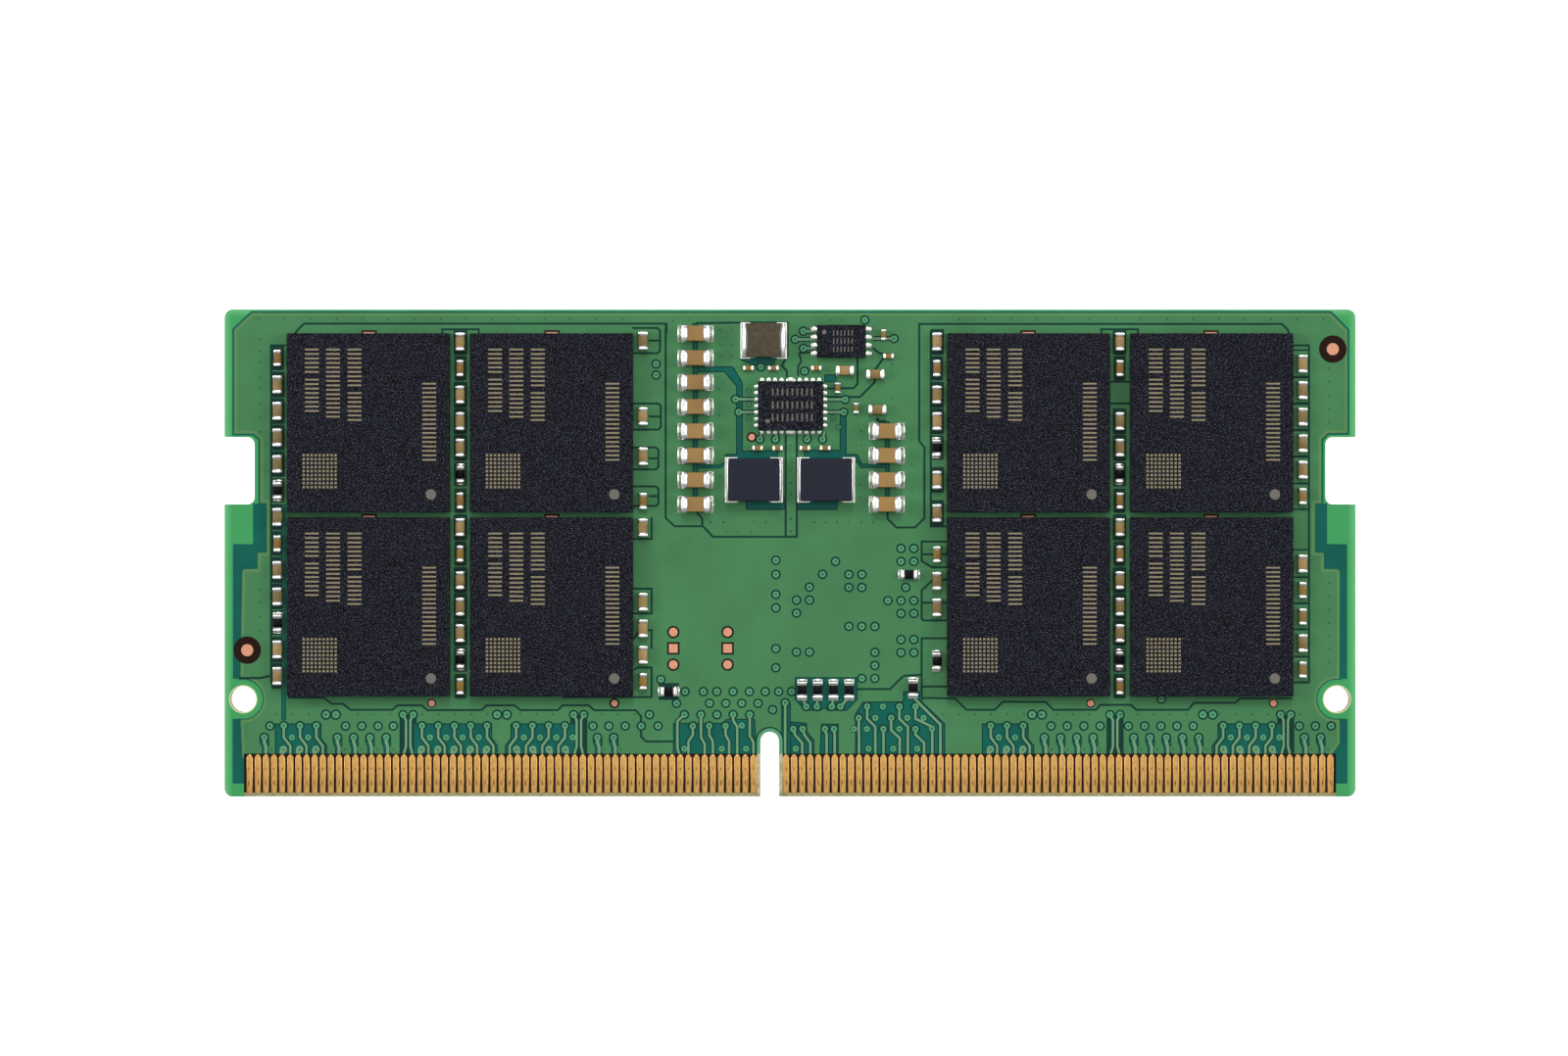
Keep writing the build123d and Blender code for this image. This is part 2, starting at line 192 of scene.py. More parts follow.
board_low, board_high = box_mm("circuit_board")
half_length = board_high[0]
half_height = board_high[1]
front_top = box_mm("front_solder_mask")[1][2]
laminate_top = board_high[2]
rear_low = box_mm("rear_solder_mask")[0][2]


# ---- shapes: points, and polygons grouped by their number of corners ----
CORNERS = np.array([(x, y, z) for x in (-1, 1) for y in (-1, 1) for z in (-1, 1)], float)


def outward(points, faces):
    """Faces of a convex shape about the origin, each turned to point away from it."""
    a, b, c = (points[faces[:, k]] for k in range(3))
    inward = np.einsum("ij,ij->i", np.cross(b - a, c - a), a + b + c) < 0
    faces = faces.copy()
    faces[inward] = faces[inward][:, ::-1]
    return faces


def cut_box_faces():
    """Polygons of a box whose corners each became three points: six sides, a strip along
    each of the twelve edges, and eight corner triangles."""
    number = {tuple(corner): n for n, corner in enumerate(CORNERS.astype(int).tolist())}
    quads = []
    for axis in range(3):
        second, third = (axis + 1) % 3, (axis + 2) % 3

        def corner(a, b, c):
            signs = [0, 0, 0]
            signs[axis], signs[second], signs[third] = a, b, c
            return number[tuple(signs)] * 3

        for side in (-1, 1):
            quads.append([corner(side, b, c) + axis for b, c in ((-1, -1), (1, -1), (1, 1), (-1, 1))])
            for b in (-1, 1):
                quads.append([corner(-1, b, side) + second, corner(1, b, side) + second,
                              corner(1, b, side) + third, corner(-1, b, side) + third])
    points = (CORNERS[:, None, :] * (0.7 + 0.3 * np.eye(3)[None])).reshape(-1, 3)
    triangles = np.arange(24).reshape(8, 3)
    return [outward(points, np.array(quads)), outward(points, triangles)]


BOX_FACES = cut_box_faces()


def blocks(centres, box_sizes, rounding):
    """Boxes with cut-back edges. A corner's three points each reach the full size along
    one axis, and stay the rounding short of it along the other two."""
    centres = np.asarray(centres, float)
    box_sizes = np.broadcast_to(np.asarray(box_sizes, float), centres.shape)
    inner = box_sizes[:, None, None, :] / 2 - rounding
    points = CORNERS[None, :, None, :] * (inner + rounding * np.eye(3)[None, None])
    points = points.reshape(len(centres), 24, 3) + centres[:, None, :]
    step = np.arange(len(centres))[:, None, None] * 24
    return points.reshape(-1, 3), [(g[None] + step).reshape(-1, g.shape[1]) for g in BOX_FACES]


def volume(shape):
    """Signed volume: a sixth of the triple product of every triangle of every fan."""
    points, polygons = shape
    return sum(np.einsum("ij,ij->", points[g[:, 0]], np.cross(points[g[:, k]], points[g[:, k + 1]]))
               for g in polygons for k in range(1, g.shape[1] - 1)) / 6


def loft(stations):
    """Closed skin over a row of matching closed profiles, shape (row, profile, 3), with a
    flat face over each end. It is turned round if its volume comes out negative."""
    rows, count = stations.shape[:2]
    index = np.arange(rows * count).reshape(rows, count)
    after = np.roll(index, -1, axis=1)
    quads = np.stack([index[:-1], after[:-1], after[1:], index[1:]], axis=-1).reshape(-1, 4)
    caps = np.stack([index[0][::-1], index[-1]])
    shape = (stations.reshape(-1, 3), [quads, caps])
    if volume(shape) < 0:
        shape = (shape[0], [g[:, ::-1] for g in shape[1]])
    return shape


def spread(shape, places, turns=0.0):
    """Copies of a shape, each turned about Z and moved to its place."""
    points, polygons = shape
    places = np.asarray(places, float)
    turns = np.broadcast_to(np.asarray(turns, float), len(places))
    c, s = np.cos(turns), np.sin(turns)
    x, y, z = points.T
    turned = np.stack([np.outer(c, x) - np.outer(s, y), np.outer(s, x) + np.outer(c, y),
                       np.broadcast_to(z, (len(places), len(z)))], axis=-1)
    step = np.arange(len(places))[:, None, None] * len(points)
    return ((turned + places[:, None, :]).reshape(-1, 3),
            [(g[None] + step).reshape(-1, g.shape[1]) for g in polygons])


def join(*shapes):
    """One shape out of several."""
    polygons, base = [], 0
    for points, groups in shapes:
        polygons += [g + base for g in groups]
        base += len(points)
    return np.concatenate([points for points, _ in shapes]), polygons


def discs(centres, radius, height, sides=24):
    """Flat round studs: a circle at the foot, one near the top, and a smaller one on top."""
    angle = np.arange(sides) * 2 * pi / sides
    ring = np.stack([np.cos(angle), np.sin(angle)], axis=-1)
    edge = min(0.3 * height, 0.1 * radius)
    stations = np.array([np.column_stack([ring * r, np.full(sides, z)])
                         for r, z in ((radius, 0.0), (radius, height - edge), (radius - edge, height))])
    return spread(loft(stations), centres)


def piece(name, shape, materials, replaces=(), kinds=None, smooth=True):
    """Put a shape into a mesh object that rides on the module."""
    points, polygons = shape
    mesh = bpy.data.meshes.new(name)
    faces = [face for group in polygons for face in group.tolist()]
    mesh.from_pydata((points * MM).tolist(), [], faces)
    for made in materials:
        mesh.materials.append(made)
    if kinds is not None:
        mesh.polygons.foreach_set("material_index", kinds)
    mesh.polygons.foreach_set("use_smooth", np.full(len(faces), smooth))
    mesh.update()
    made_object = bpy.data.objects.new(name, mesh)
    bpy.context.scene.collection.objects.link(made_object)
    if smooth:
        # Wide faces keep a flat shade, and the narrow edge strips carry the rounding.
        made_object.modifiers.new("Edge shading", "WEIGHTED_NORMAL").weight = 100
    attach(made_object, BODY)
    if replaces:
        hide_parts(*replaces)
    return made_object


# ---- materials ----
def add(tree, kind, inputs=None, **settings):
    """Add a node. A socket given as an input is linked, and anything else is its value."""
    node = tree.nodes.new(kind)
    for key, value in settings.items():
        setattr(node, key, value)
    for key, value in (inputs or {}).items():
        if isinstance(value, bpy.types.NodeSocket):
            tree.links.new(value, node.inputs[key])
        else:
            node.inputs[key].default_value = value
    return node


def maths(tree, operation, *values):
    """Result of a math node over values that are each a number or a socket."""
    return add(tree, "ShaderNodeMath", dict(enumerate(values)), operation=operation).outputs[0]


def axes(tree):
    """The three coordinates of the shaded point, in metres in the module's frame."""
    place = add(tree, "ShaderNodeTexCoord").outputs["Object"]
    return add(tree, "ShaderNodeSeparateXYZ", {0: place}).outputs


def finish(name, base, fleck, grain, roughness, relief=0.0, flecks=(0.4, 0.7), **shader):
    """Material whose colour runs from base to fleck with a noise of this grain in
    millimetres, between two levels of the noise. The same noise gives the relief, also in
    millimetres. Any other shader input is set by its name, with underscores for spaces."""
    found = bpy.data.materials.get(name)
    if found:
        return found
    made = bpy.data.materials.new(name)
    made.use_nodes = True
    tree = made.node_tree
    surface = tree.nodes["Principled BSDF"]
    place = add(tree, "ShaderNodeTexCoord").outputs["Object"]
    grains = add(tree, "ShaderNodeTexNoise",
                 {"Vector": place, "Scale": 1 / (grain * MM), "Detail": 3.0})
    share = add(tree, "ShaderNodeMapRange",
                {"Value": grains.outputs["Fac"], "From Min": flecks[0], "From Max": flecks[1]})
    mixed = add(tree, "ShaderNodeMix", {0: share.outputs[0], 6: base, 7: fleck}, data_type="RGBA")
    tree.links.new(mixed.outputs[2], surface.inputs["Base Color"])
    surface.inputs["Roughness"].default_value = roughness
    for key, value in shader.items():
        surface.inputs[key.replace("_", " ")].default_value = value
    if relief:
        bump = add(tree, "ShaderNodeBump",
                   {"Height": grains.outputs["Fac"], "Distance": relief * MM})
        tree.links.new(bump.outputs[0], surface.inputs["Normal"])
    return made


def tint(made, factor, over):
    """Lay another colour over a material's own where the factor is 1."""
    tree = made.node_tree
    base = tree.nodes["Principled BSDF"].inputs["Base Color"]
    own = base.links[0].from_socket
    mixed = add(tree, "ShaderNodeMix", {0: factor, 6: own, 7: over}, data_type="RGBA")
    tree.links.new(mixed.outputs[2], base)


def shade(rgba, factor):
    """A linear colour made darker or lighter."""
    return tuple(min(1.0, c * factor) for c in rgba[:3]) + (1.0,)


def tin():
    """Reflowed tin solder and plated chip ends: bright, slightly rippled metal."""
    return finish("tin_solder_reflowed", linear("F0F0EC"), linear("D8D8D2"), 0.4, 0.28, 0.003,
                  Metallic=1.0)


def mould():
    """Glass-filled epoxy moulding compound: matt charcoal with fine pale filler grains.
    The real grains are a few hundredths of a millimetre, drawn at 0.07 mm so they show."""
    base = tuple(palette().mould)
    return finish("epoxy_mould_compound", base, linear("4C4E5D"), 0.07, 0.62, 0.010, (0.53, 0.70),
                  Specular_IOR_Level=0.06)


def marking():
    """Mould surface bleached by the marking laser: dull khaki, slightly broken up."""
    return finish("laser_marked_epoxy", tuple(palette().mark), linear("6F6857"), 0.07, 0.8, 0.004,
                  Specular_IOR_Level=0.2)


def faint_marking():
    """Mould surface only lightly touched by the marking laser: dull grey, broken up."""
    return finish("faint_marked_epoxy", linear("6B675F"), linear("4C4A47"), 0.07, 0.8, 0.003,
                  Specular_IOR_Level=0.2)


# ---- mask artwork ----
HOLE_X, HOLE_Y = 33.65, -9.0
KEY_X = -1.25
CONTACT_PITCH = 0.5
# The masked part of a track or clearing ends here, where the contacts begin.
MASK_FOOT = -12.6
# Kinds of mask by what lies under it, in the order of the materials.
POUR, POUR_EDGE, TRACK, BARE, GAP, RIM, DIMPLE, CREAM, PAD = range(9)


def circle(x, y, radius, sides=14):
    """Corners of a regular outline with this many sides."""
    angle = np.arange(sides) * 2 * pi / sides
    return np.column_stack([x + radius * np.cos(angle), y + radius * np.sin(angle)])


def band(points, width):
    """Outline of a line with a width: each point is set off to both sides along the mean of
    its two neighbours' normals, lengthened so that the sides stay parallel."""
    p = np.asarray(points, float)
    along = np.diff(p, axis=0)
    along /= np.linalg.norm(along, axis=1)[:, None]
    normal = np.column_stack([-along[:, 1], along[:, 0]])
    before = np.concatenate([normal[:1], normal])
    after = np.concatenate([normal, normal[-1:]])
    reach = (before + after) / (1 + (before * after).sum(axis=1))[:, None]
    return np.concatenate([p + reach * width / 2, (p - reach * width / 2)[::-1]])


def grown(polygon, distance):
    """A closed outline moved outwards by a distance, or inwards if it is negative."""
    p = np.asarray(polygon, float)
    q = np.roll(p, -1, axis=0)
    turning = np.sign((p[:, 0] * q[:, 1] - q[:, 0] * p[:, 1]).sum())
    along = q - p
    along /= np.linalg.norm(along, axis=1)[:, None]
    normal = np.column_stack([along[:, 1], -along[:, 0]]) * turning
    before = np.roll(normal, 1, axis=0)
    return p + distance * (before + normal) / (1 + (before * normal).sum(axis=1))[:, None]


def rectangle(x0, y0, x1, y1):
    """Corners of an upright rectangle, given by two of them."""
    return np.array([(x0, y0), (x1, y0), (x1, y1), (x0, y1)], float)


class Artwork:
    """Outlines of one face's copper, in the order that they are laid down."""

    def __init__(self):
        self.under, self.gaps, self.clears, self.halos = [], [], [], []
        self.copper, self.pads, self.dimples = [], [], []

    def gap(self, points, width=0.13):
        """Narrow line without copper between two areas of copper."""
        self.gaps.append((GAP, band(points, width)))

    def window(self, x0, y0, x1, y1):
        """Opening in the pour that shows dark all over."""
        self.gaps.append((GAP, rectangle(x0, y0, x1, y1)))

    def clear(self, polygon, border=0.07):
        """Bare laminate with a darker border where the mask runs up to the copper: partly
        thicker mask there and partly painted shade along the copper's edge.
        """
        self.gaps.append((GAP, np.asarray(polygon, float)))
        self.clears.append((BARE, grown(polygon, -border)))

    def via(self, x, y, pad=0.195, ring=0.11):
        """Plated hole: a round pad with a dimple, inside a ring without copper."""
        self.halos.append((GAP, circle(x, y, pad + ring)))
        self.pads.append((PAD, circle(x, y, pad)))
        self.dimples.append((DIMPLE, circle(x, y, 0.075, 8)))

    def dot(self, x, y):
        """Dimple over a hole that joins the pour to the copper under it."""
        self.dimples.append((DIMPLE, circle(x, y, 0.07, 6)))

    def track(self, points, width=0.15, ring=0.08):
        """Copper line with a gap of this width along both of its sides."""
        self.halos.append((GAP, band(points, width + 2 * ring)))
        self.copper.append((TRACK, band(points, width)))

    def rings_round_holes(self):
        """Clear laminate round both locating holes, with a pale rim at their edges."""
        for x in (-HOLE_X, HOLE_X):
            self.under += [(RIM, circle(x, HOLE_Y, 1.2, 32)), (CREAM, circle(x, HOLE_Y, 0.87, 32))]

    def polygons(self):
        return (self.under + self.gaps + self.clears + self.halos + self.copper + self.pads
                + self.dimples)


def pour_outline():
    """Outer copper of both faces: it steps in beside the notches and round the holes."""
    # The arc round a hole: from above it, along the side towards the middle, to below it.
    angle, reach = np.linspace(0.46 * pi, 1.54 * pi, 17), 1.27
    arc = np.column_stack([HOLE_X + reach * np.cos(angle), HOLE_Y + reach * np.sin(angle)])
    right = [(33.25, 14.78), (34.3, 13.72), (34.3, 7.4), (33.1, 7.38), (32.7, 7.0), (32.7, 3.05),
             (32.3, 3.05), (32.3, 0.03), (32.85, 0.0), (32.85, -0.98), (33.7, -1.0), (33.83, -1.15)]
    right_foot = [(33.83, -11.7), (33.4, -12.3), (33.4, MASK_FOOT)]
    left_foot = [(-33.7, MASK_FOOT)]
    left = [(-33.7, -1.15), (-33.6, -1.0), (-32.75, -0.98), (-32.75, 0.0), (-32.2, 0.03),
            (-32.2, 3.08), (-32.6, 3.08), (-32.6, 7.0), (-33.0, 7.35), (-34.2, 7.35), (-34.2, 13.75),
            (-33.1, 14.78)]
    return np.concatenate([right, arc, right_foot, left_foot, arc[::-1] * (-1, 1), left])


def front_artwork():
    """The populated face's copper: edges, supply areas, vias and the tracks to the contacts."""
    art = Artwork()
    pour = pour_outline()
    for sign in (-1, 1):
        art.under += [(BARE, rectangle(sign * 32.1, 0.0, sign * 33.05, 3.05)),
                      (BARE, rectangle(sign * 32.1, -7.75, sign * 34.28, 0.55)),
                      (BARE, rectangle(sign * 33.4, -14.2, sign * 34.3, -10.2))]
    # The thin dark band just outside the pour is painted shade along its edge.
    art.under += [(BARE, grown(pour, 0.12)), (POUR_EDGE, pour), (POUR, grown(pour, -0.18))]
    art.rings_round_holes()
    supply_gaps(art)
    power_areas(art)
    part_windows_and_shade(art)
    pour_dots(art)
    ring_vias(art)
    contact_groups(art)
    key_groups(art)
    # Clear laminate round the key's arc, with a dark line beyond it.
    arc_y = -11.575
    for kind, reach in ((GAP, 0.88), (PAD, 0.79)):
        art.copper += [(kind, circle(KEY_X, arc_y, reach, 32)),
                       (kind, rectangle(KEY_X - reach, MASK_FOOT, KEY_X + reach, arc_y))]
    return art


def supply_gaps(art):
    """Gaps between supply areas, along the edges, between the packages and in the middle."""
    art.gap([(-33.9, -7.7), (-32.6, -7.7), (-31.92, -7.55)], 0.15)
    for points in (
            [(-30.9, 13.0), (-30.3, 13.72), (-29.9, 14.12), (-7.6, 14.12), (-7.6, 13.5)],
            [(30.9, 13.0), (30.62, 13.75), (30.27, 14.1), (7.95, 14.1), (7.95, 6.9), (8.27, 6.5),
             (8.27, 2.15), (7.7, 1.57), (6.55, 1.57), (6.0, 2.1), (6.0, 2.9)],
            [(-5.8, 2.6), (-5.4, 2.1), (-5.4, 1.7), (-4.75, 1.0), (0.42, 1.0), (0.42, 7.3)],
            [(-0.27, 7.3), (-0.27, 1.0)],
            [(-7.65, 14.12), (-7.65, 2.15), (-7.1, 1.65), (-5.4, 1.65)],
            [(9.75, 0.7), (8.1, 0.7), (8.1, -0.5), (8.75, -0.88), (9.8, -0.88)],
            [(9.8, -1.65), (8.8, -1.65), (8.1, -2.3), (8.1, -4.05), (8.2, -4.15), (9.8, -4.15)],
            [(9.8, -5.25), (8.1, -5.25), (8.1, -9.1)],
            [(8.1, -8.22), (9.8, -8.22)],
            [(6.95, -7.55), (8.1, -7.5)],
            [(8.1, -0.08), (9.8, -0.08)],
            [(8.1, -3.06), (9.8, -3.06)],
            [(-30.9, -8.9), (-28.7, -8.9), (-28.2, -9.28), (-27.5, -9.28), (-27.05, -9.65),
             (-24.46, -9.65), (-24.16, -9.38), (-22.67, -9.38), (-22.32, -9.67), (-18.98, -9.67),
             (-18.68, -9.38), (-16.94, -9.38), (-16.59, -9.67), (-14.3, -9.67), (-14.0, -9.38),
             (-12.4, -9.37), (-12.05, -9.68), (-9.5, -9.68), (-9.17, -10.05), (-9.17, -11.3),
             (-8.87, -11.6), (-7.15, -11.6)],
            [(8.1, -8.92), (10.15, -8.95), (10.85, -9.65), (12.6, -9.65), (13.1, -9.15),
             (15.74, -9.17), (16.2, -9.65), (18.83, -9.65), (19.08, -9.35), (20.97, -9.35),
             (21.32, -9.65), (24.5, -9.65), (24.86, -9.22), (27.4, -9.22), (27.7, -8.95),
             (30.9, -8.95)],
            [(8.66, 13.7), (8.66, 1.64), (9.7, 1.64)],
            [(19.5, 10.55), (21.0, 10.55)],
            [(19.5, 9.2), (21.0, 9.2)],
            [(-9.7, 0.87), (-8.52, 0.87), (-8.52, 2.2)],
            [(-9.7, -2.2), (-8.52, -2.2), (-8.52, -3.72), (-9.7, -3.72)],
            [(-9.6, -5.3), (-9.3, -4.75), (-8.52, -4.75), (-8.52, -5.9)],
            [(-9.6, -7.2), (-9.4, -7.05), (-8.52, -7.05), (-8.52, -8.87), (-14.0, -8.87)]):
        art.gap(points)
    for side in (-1, 1):
        art.gap([(side * 31.0, 12.78), (side * 31.93, 12.78), (side * 31.93, -7.97),
                 (side * 31.0, -7.97)])
        art.gap([(side * 21.4, 13.5), (side * 21.4, 13.77), (side * 19.15, 13.77), (side * 19.15, 13.5)])
    # Islands of copper round the parts of the column right of the second package.
    for top, foot, right in ((13.85, 12.3, -8.0), (9.2, 7.6, -7.95), (6.5, 5.15, -8.1), (4.1, 2.9, -8.1)):
        art.gap([(-9.7, top), (right - 0.15, top), (right, top - 0.15), (right, foot + 0.15),
                 (right - 0.15, foot), (-9.7, foot)])
        art.gap([(-8.7, (top + foot) / 2), (right, (top + foot) / 2)])
    for y in (11.64, 10.95):
        art.via(-8.24, y)
    art.clear([(6.95, -8.5), (8.15, -8.5), (8.15, -9.3), (6.95, -9.3)])
    art.clear(rectangle(-31.3, -10.3, -31.0, 3.0), 0.05)


def power_areas(art):
    """Clearings, gaps, vias and tracks round the power manager and the hub."""
    for outline in (
            [(-4.0, 5.6), (-0.72, 5.6), (-0.72, 6.35), (-2.9, 6.3), (-2.9, 10.5), (-3.5, 11.5),
             (-5.7, 11.5), (-5.7, 11.12), (-4.05, 11.12), (-3.32, 10.25), (-3.32, 6.1), (-4.0, 6.1)],
            [(0.85, 5.6), (4.1, 5.6), (4.35, 5.22), (6.0, 5.22), (6.0, 5.5), (4.45, 5.5), (4.15, 6.1),
             (3.48, 6.1), (3.48, 8.72), (3.05, 8.72), (3.05, 6.35), (0.85, 6.35)],
            rectangle(-6.0, 2.7, -5.66, 14.15),
            rectangle(5.84, 2.7, 6.14, 8.1),
            rectangle(-2.72, 2.65, -0.3, 3.4),
            rectangle(0.45, 2.65, 2.92, 3.4),
            [(-3.1, 11.9), (-2.3, 11.55), (-1.0, 11.55), (-0.85, 12.05), (-3.0, 12.2)],
            rectangle(2.1, 10.5, 2.85, 11.0)):
        art.clear(outline)
    art.clear([(-5.7, 5.2), (-4.3, 5.2), (-4.05, 5.4), (-4.05, 5.6), (-4.35, 5.45), (-5.7, 5.45)], 0.04)
    for width, points in (
            (0.13, [(-5.8, 14.15), (-3.0, 14.18), (-0.15, 14.18), (-0.15, 12.15), (-0.5, 11.55),
                    (-0.2, 11.2), (-0.2, 10.8)]),
            (0.12, [(0.5, 10.9), (0.5, 11.5), (0.7, 11.8), (0.55, 12.3), (1.3, 12.35)]),
            (0.13, [(4.15, 12.1), (4.15, 10.4), (3.9, 10.15), (2.2, 10.12)]),
            (0.13, [(2.2, 9.62), (4.3, 9.6), (5.2, 10.5), (5.25, 11.0)]),
            (0.14, [(5.25, 11.3), (5.75, 12.0), (6.1, 12.1)]),
            (0.14, [(5.1, 12.6), (5.5, 12.3), (6.1, 12.2)]),
            (0.2, [(5.3, 8.3), (5.5, 8.1), (5.9, 8.1)])):
        art.gap(points, width)
    # Each of these has a level track from its via to a land.
    for x, y, land_x in ((-3.35, 9.47, -2.2), (-3.15, 8.67, -2.2), (3.4, 9.45, 2.2), (3.3, 8.67, 2.2),
                         (6.4, 13.2, 5.1), (0.32, 13.15, 1.3), (0.82, 13.65, 1.5), (0.82, 12.6, 1.5)):
        art.via(x, y)
        art.track([(x, y), (land_x, y)])
    for x in (-1.85, -0.9, 1.05, 2.0):
        art.via(x, 7.0)
        art.track([(x, 7.0), (x + 0.12, 7.45)])
    for x, y in ((4.6, 14.35), (0.9, 11.2), (-1.8, 11.45)):
        art.via(x, y)
    for x, y in ((-2.55, 9.15), (-2.55, 8.3), (-2.55, 9.95), (2.65, 8.3), (3.0, 7.75)):
        art.via(x, y, 0.13, 0.05)


def part_windows_and_shade(art):
    """Dark windows under the small parts that stand in columns, and short gaps above and
    below those of the last column. Each window is an opening in the pour, and its dark
    fill is also painted shade round the part."""
    beside, beyond = 0.14, 0.26
    for node in ("capacitor_0402_bodies", "resistor_0402_bodies"):
        left_resistor = node == "resistor_0402_bodies"
        low, high = islands(node)
        for (x0, y0, _), (x1, y1, _) in zip(low, high):
            if x0 > 30.0:
                for y in (y0 - 0.32, y1 + 0.32):
                    art.gap([(x0 - 0.4, y), (31.93, y)], 0.1)
            elif abs(x0) > 12.0 or (x0 > 8.3 and y0 > 1.6) or (left_resistor and x0 < 0.0):
                # Dark fill: the opening, and painted shade round the part.
                art.window(x0 - beside, y0 - beyond, x1 + beside, y1 + beyond)


def pour_dots(art):
    """Dimples in the pour along the edges, above the contacts and round the middle."""
    for x in np.concatenate([np.arange(-32.7, -10.0, 1.6), np.arange(10.4, 33.0, 1.6)]):
        art.dot(x, 14.38)
    for x, ys in ((-32.6, (13.15, 12.4, 11.75, 10.8, 10.15, 9.2, 8.35, 7.45, -2.25, -3.05, -3.9, -4.8)),
                  (33.18, (11.35, 10.55, 9.7, 8.85, 8.05, -1.85, -2.67, -3.5, -4.3, -5.1, -5.9, -6.75)),
                  (0.05, (1.35, 2.1, 3.6, 4.3, 5.1, 5.8, 6.6)), (-4.3, (13.7, 12.8, 12.1, 4.7)),
                  (-3.6, (13.7, 12.8, 12.1, 5.3)), (4.4, (1.9, 6.6, 7.5)), (7.5, (5.4, 3.8, 7.0)),
                  (6.3, (9.5, 11.6)), (-4.4, (8.5, 10.1))):
        for y in ys:
            art.dot(x, y)
    for x in np.arange(-31.6, 32.0, 1.0):
        if abs(x) > 9.0:
            art.dot(x, -9.93)
    for x in (-4.9, -4.1, -2.2, -1.5, 1.5, 2.2, 2.9, 3.6, 5.1):
        art.dot(x, 1.9)
    for x, y in ((-7.2, 14.3), (-6.2, 14.35), (2.5, 14.35), (3.2, 14.35), (-3.9, 1.3), (-3.2, 1.3),
                 (-2.4, 1.3), (4.3, 3.4), (4.35, 4.2)):
        art.dot(x, y)


def ring_vias(art):
    """Vias in the middle of the board, by column and then by row."""
    pair = (0.28, -0.52, -2.93, -3.72, -5.33, -6.13)
    for x, ys in ((-0.87, (-0.45, -1.32, -2.55, -3.38, -5.89, -7.06)), (2.0, (-1.31,)),
                  (1.2, (-2.1, -2.9, -6.1)), (0.4, (-2.9, -3.7, -6.1)), (2.8, (-0.52,)),
                  (3.62, (-1.32, -2.12, -4.52)), (4.42, (-1.32, -2.12, -4.52, -7.72)),
                  (5.22, (-4.52, -6.12, -6.92, -7.72)), (6.02, (-2.93,)), (6.83, pair), (7.62, pair),
                  (7.12, (-2.12,)), (-7.95, (-7.78,)), (-1.07, (-9.65,)), (22.86, (-9.0,))):
        for y in ys:
            art.via(x, y)
    for y, xs in ((-8.53, (-6.46, -5.33, -4.5, -3.5, -2.5, -1.52, -0.7, 0.1)),
                  (-9.25, (-6.98, -4.95, -3.95, -2.97, -1.97)), (-9.95, (-8.65, -6.5, -4.5))):
        for x in xs:
            art.via(x, y)


def contact_groups(art):
    """Vias, tracks and clearings between the packages and the contacts. Most of them repeat
    every millimetre, which is every second contact."""
    # Groups whose tracks jog sideways: first contact, number of tracks, side of the jog.
    top = -10.63
    for first, count, side in ((-30.75, 3, 1), (-22.25, 5, 1), (-17.25, 4, -1), (12.75, 3, 1),
                               (26.25, 4, -1)):
        last = first + count - 1
        low, high = (first - 0.95, last + 0.28) if side > 0 else (first - 0.3, last + 1.05)
        low_top = low + 0.35 * (side < 0)
        high_top = high - 0.35 * (side > 0)
        art.clear([(low, MASK_FOOT), (high, MASK_FOOT), (high, -11.85), (high_top, -11.4),
                   (high_top, top + 0.15), (low_top, top + 0.15), (low_top, -11.4), (low, -11.85)])
        for n in range(count):
            x = first + n
            via_x = x - 0.4 * side
            art.via(via_x, top)
            art.track([(via_x, top), (via_x, -11.35), (x, -11.88), (x, MASK_FOOT)])
            # The contact between two tracks is tied to the pour under it.
            between = x - 0.5 * side
            tie_x = between + 0.08 * side
            art.copper += [(TRACK, circle(tie_x, -12.08, 0.22)),
                           (TRACK, band([(between, -12.1), (between, MASK_FOOT)], 0.3))]
            art.dimples.append((DIMPLE, circle(tie_x, -12.1, 0.07, 8)))
            if n < count - 1 or side < 0:
                art.via(x + 0.1 if side > 0 else x + 0.87, -11.35, 0.19, 0.04)
    # Pairs of vias with straight tracks to neighbouring contacts.
    for x in (-23.75, -13.25, 19.75, 30.25):
        art.window(x - 0.28, MASK_FOOT, x + 0.78, -9.9)
        for side in (0, 1):
            via_x = x - 0.06 + 0.62 * side
            track_x = x + 0.12 + 0.27 * side
            contact_x = x + CONTACT_PITCH * side
            art.via(via_x, -9.95)
            art.track([(via_x, -9.95), (track_x, -10.3), (track_x, -11.9), (contact_x, -12.3),
                       (contact_x, MASK_FOOT)], 0.14, 0.06)
    for x in (-28.55, -18.03, 14.9, 25.41):
        art.via(x, -9.95, 0.22)
        art.via(x + 0.6, -9.95, 0.22)
    # Single vias, and vias with a short tail to their contact.
    for x in (-32.0, -27.35, -26.35, -25.35, -24.41, -12.13, -11.14, -10.14, -9.15, -8.12, 16.06, 17.06,
              18.08, 19.08, 20.82, 21.82, 22.82, 23.81, 24.81, 31.34, 32.33, 33.3):
        art.via(x, -10.65)
    for x in (-32.25, -27.75, -26.75, -25.75, -24.75, -11.75, -10.75, 15.75, 16.75, 17.75, 18.75, 21.25,
              22.25, 23.25, 24.25, 25.25, 31.75, 32.75):
        art.clear([(x - 0.4, -11.4), (x + 0.2, -11.4), (x + 0.22, -11.85), (x + 0.12, -12.0),
                   (x + 0.12, -12.18), (x + 0.25, -12.35), (x + 0.25, MASK_FOOT), (x - 0.25, MASK_FOOT),
                   (x - 0.25, -12.0), (x - 0.4, -11.65)], 0.05)
        art.via(x - 0.1, -11.35)
        art.dot(x + 0.34, -12.08)
        art.track([(x - 0.1, -11.35), (x - 0.1, -11.65), (x, -11.95), (x, MASK_FOOT)], 0.19, 0.04)


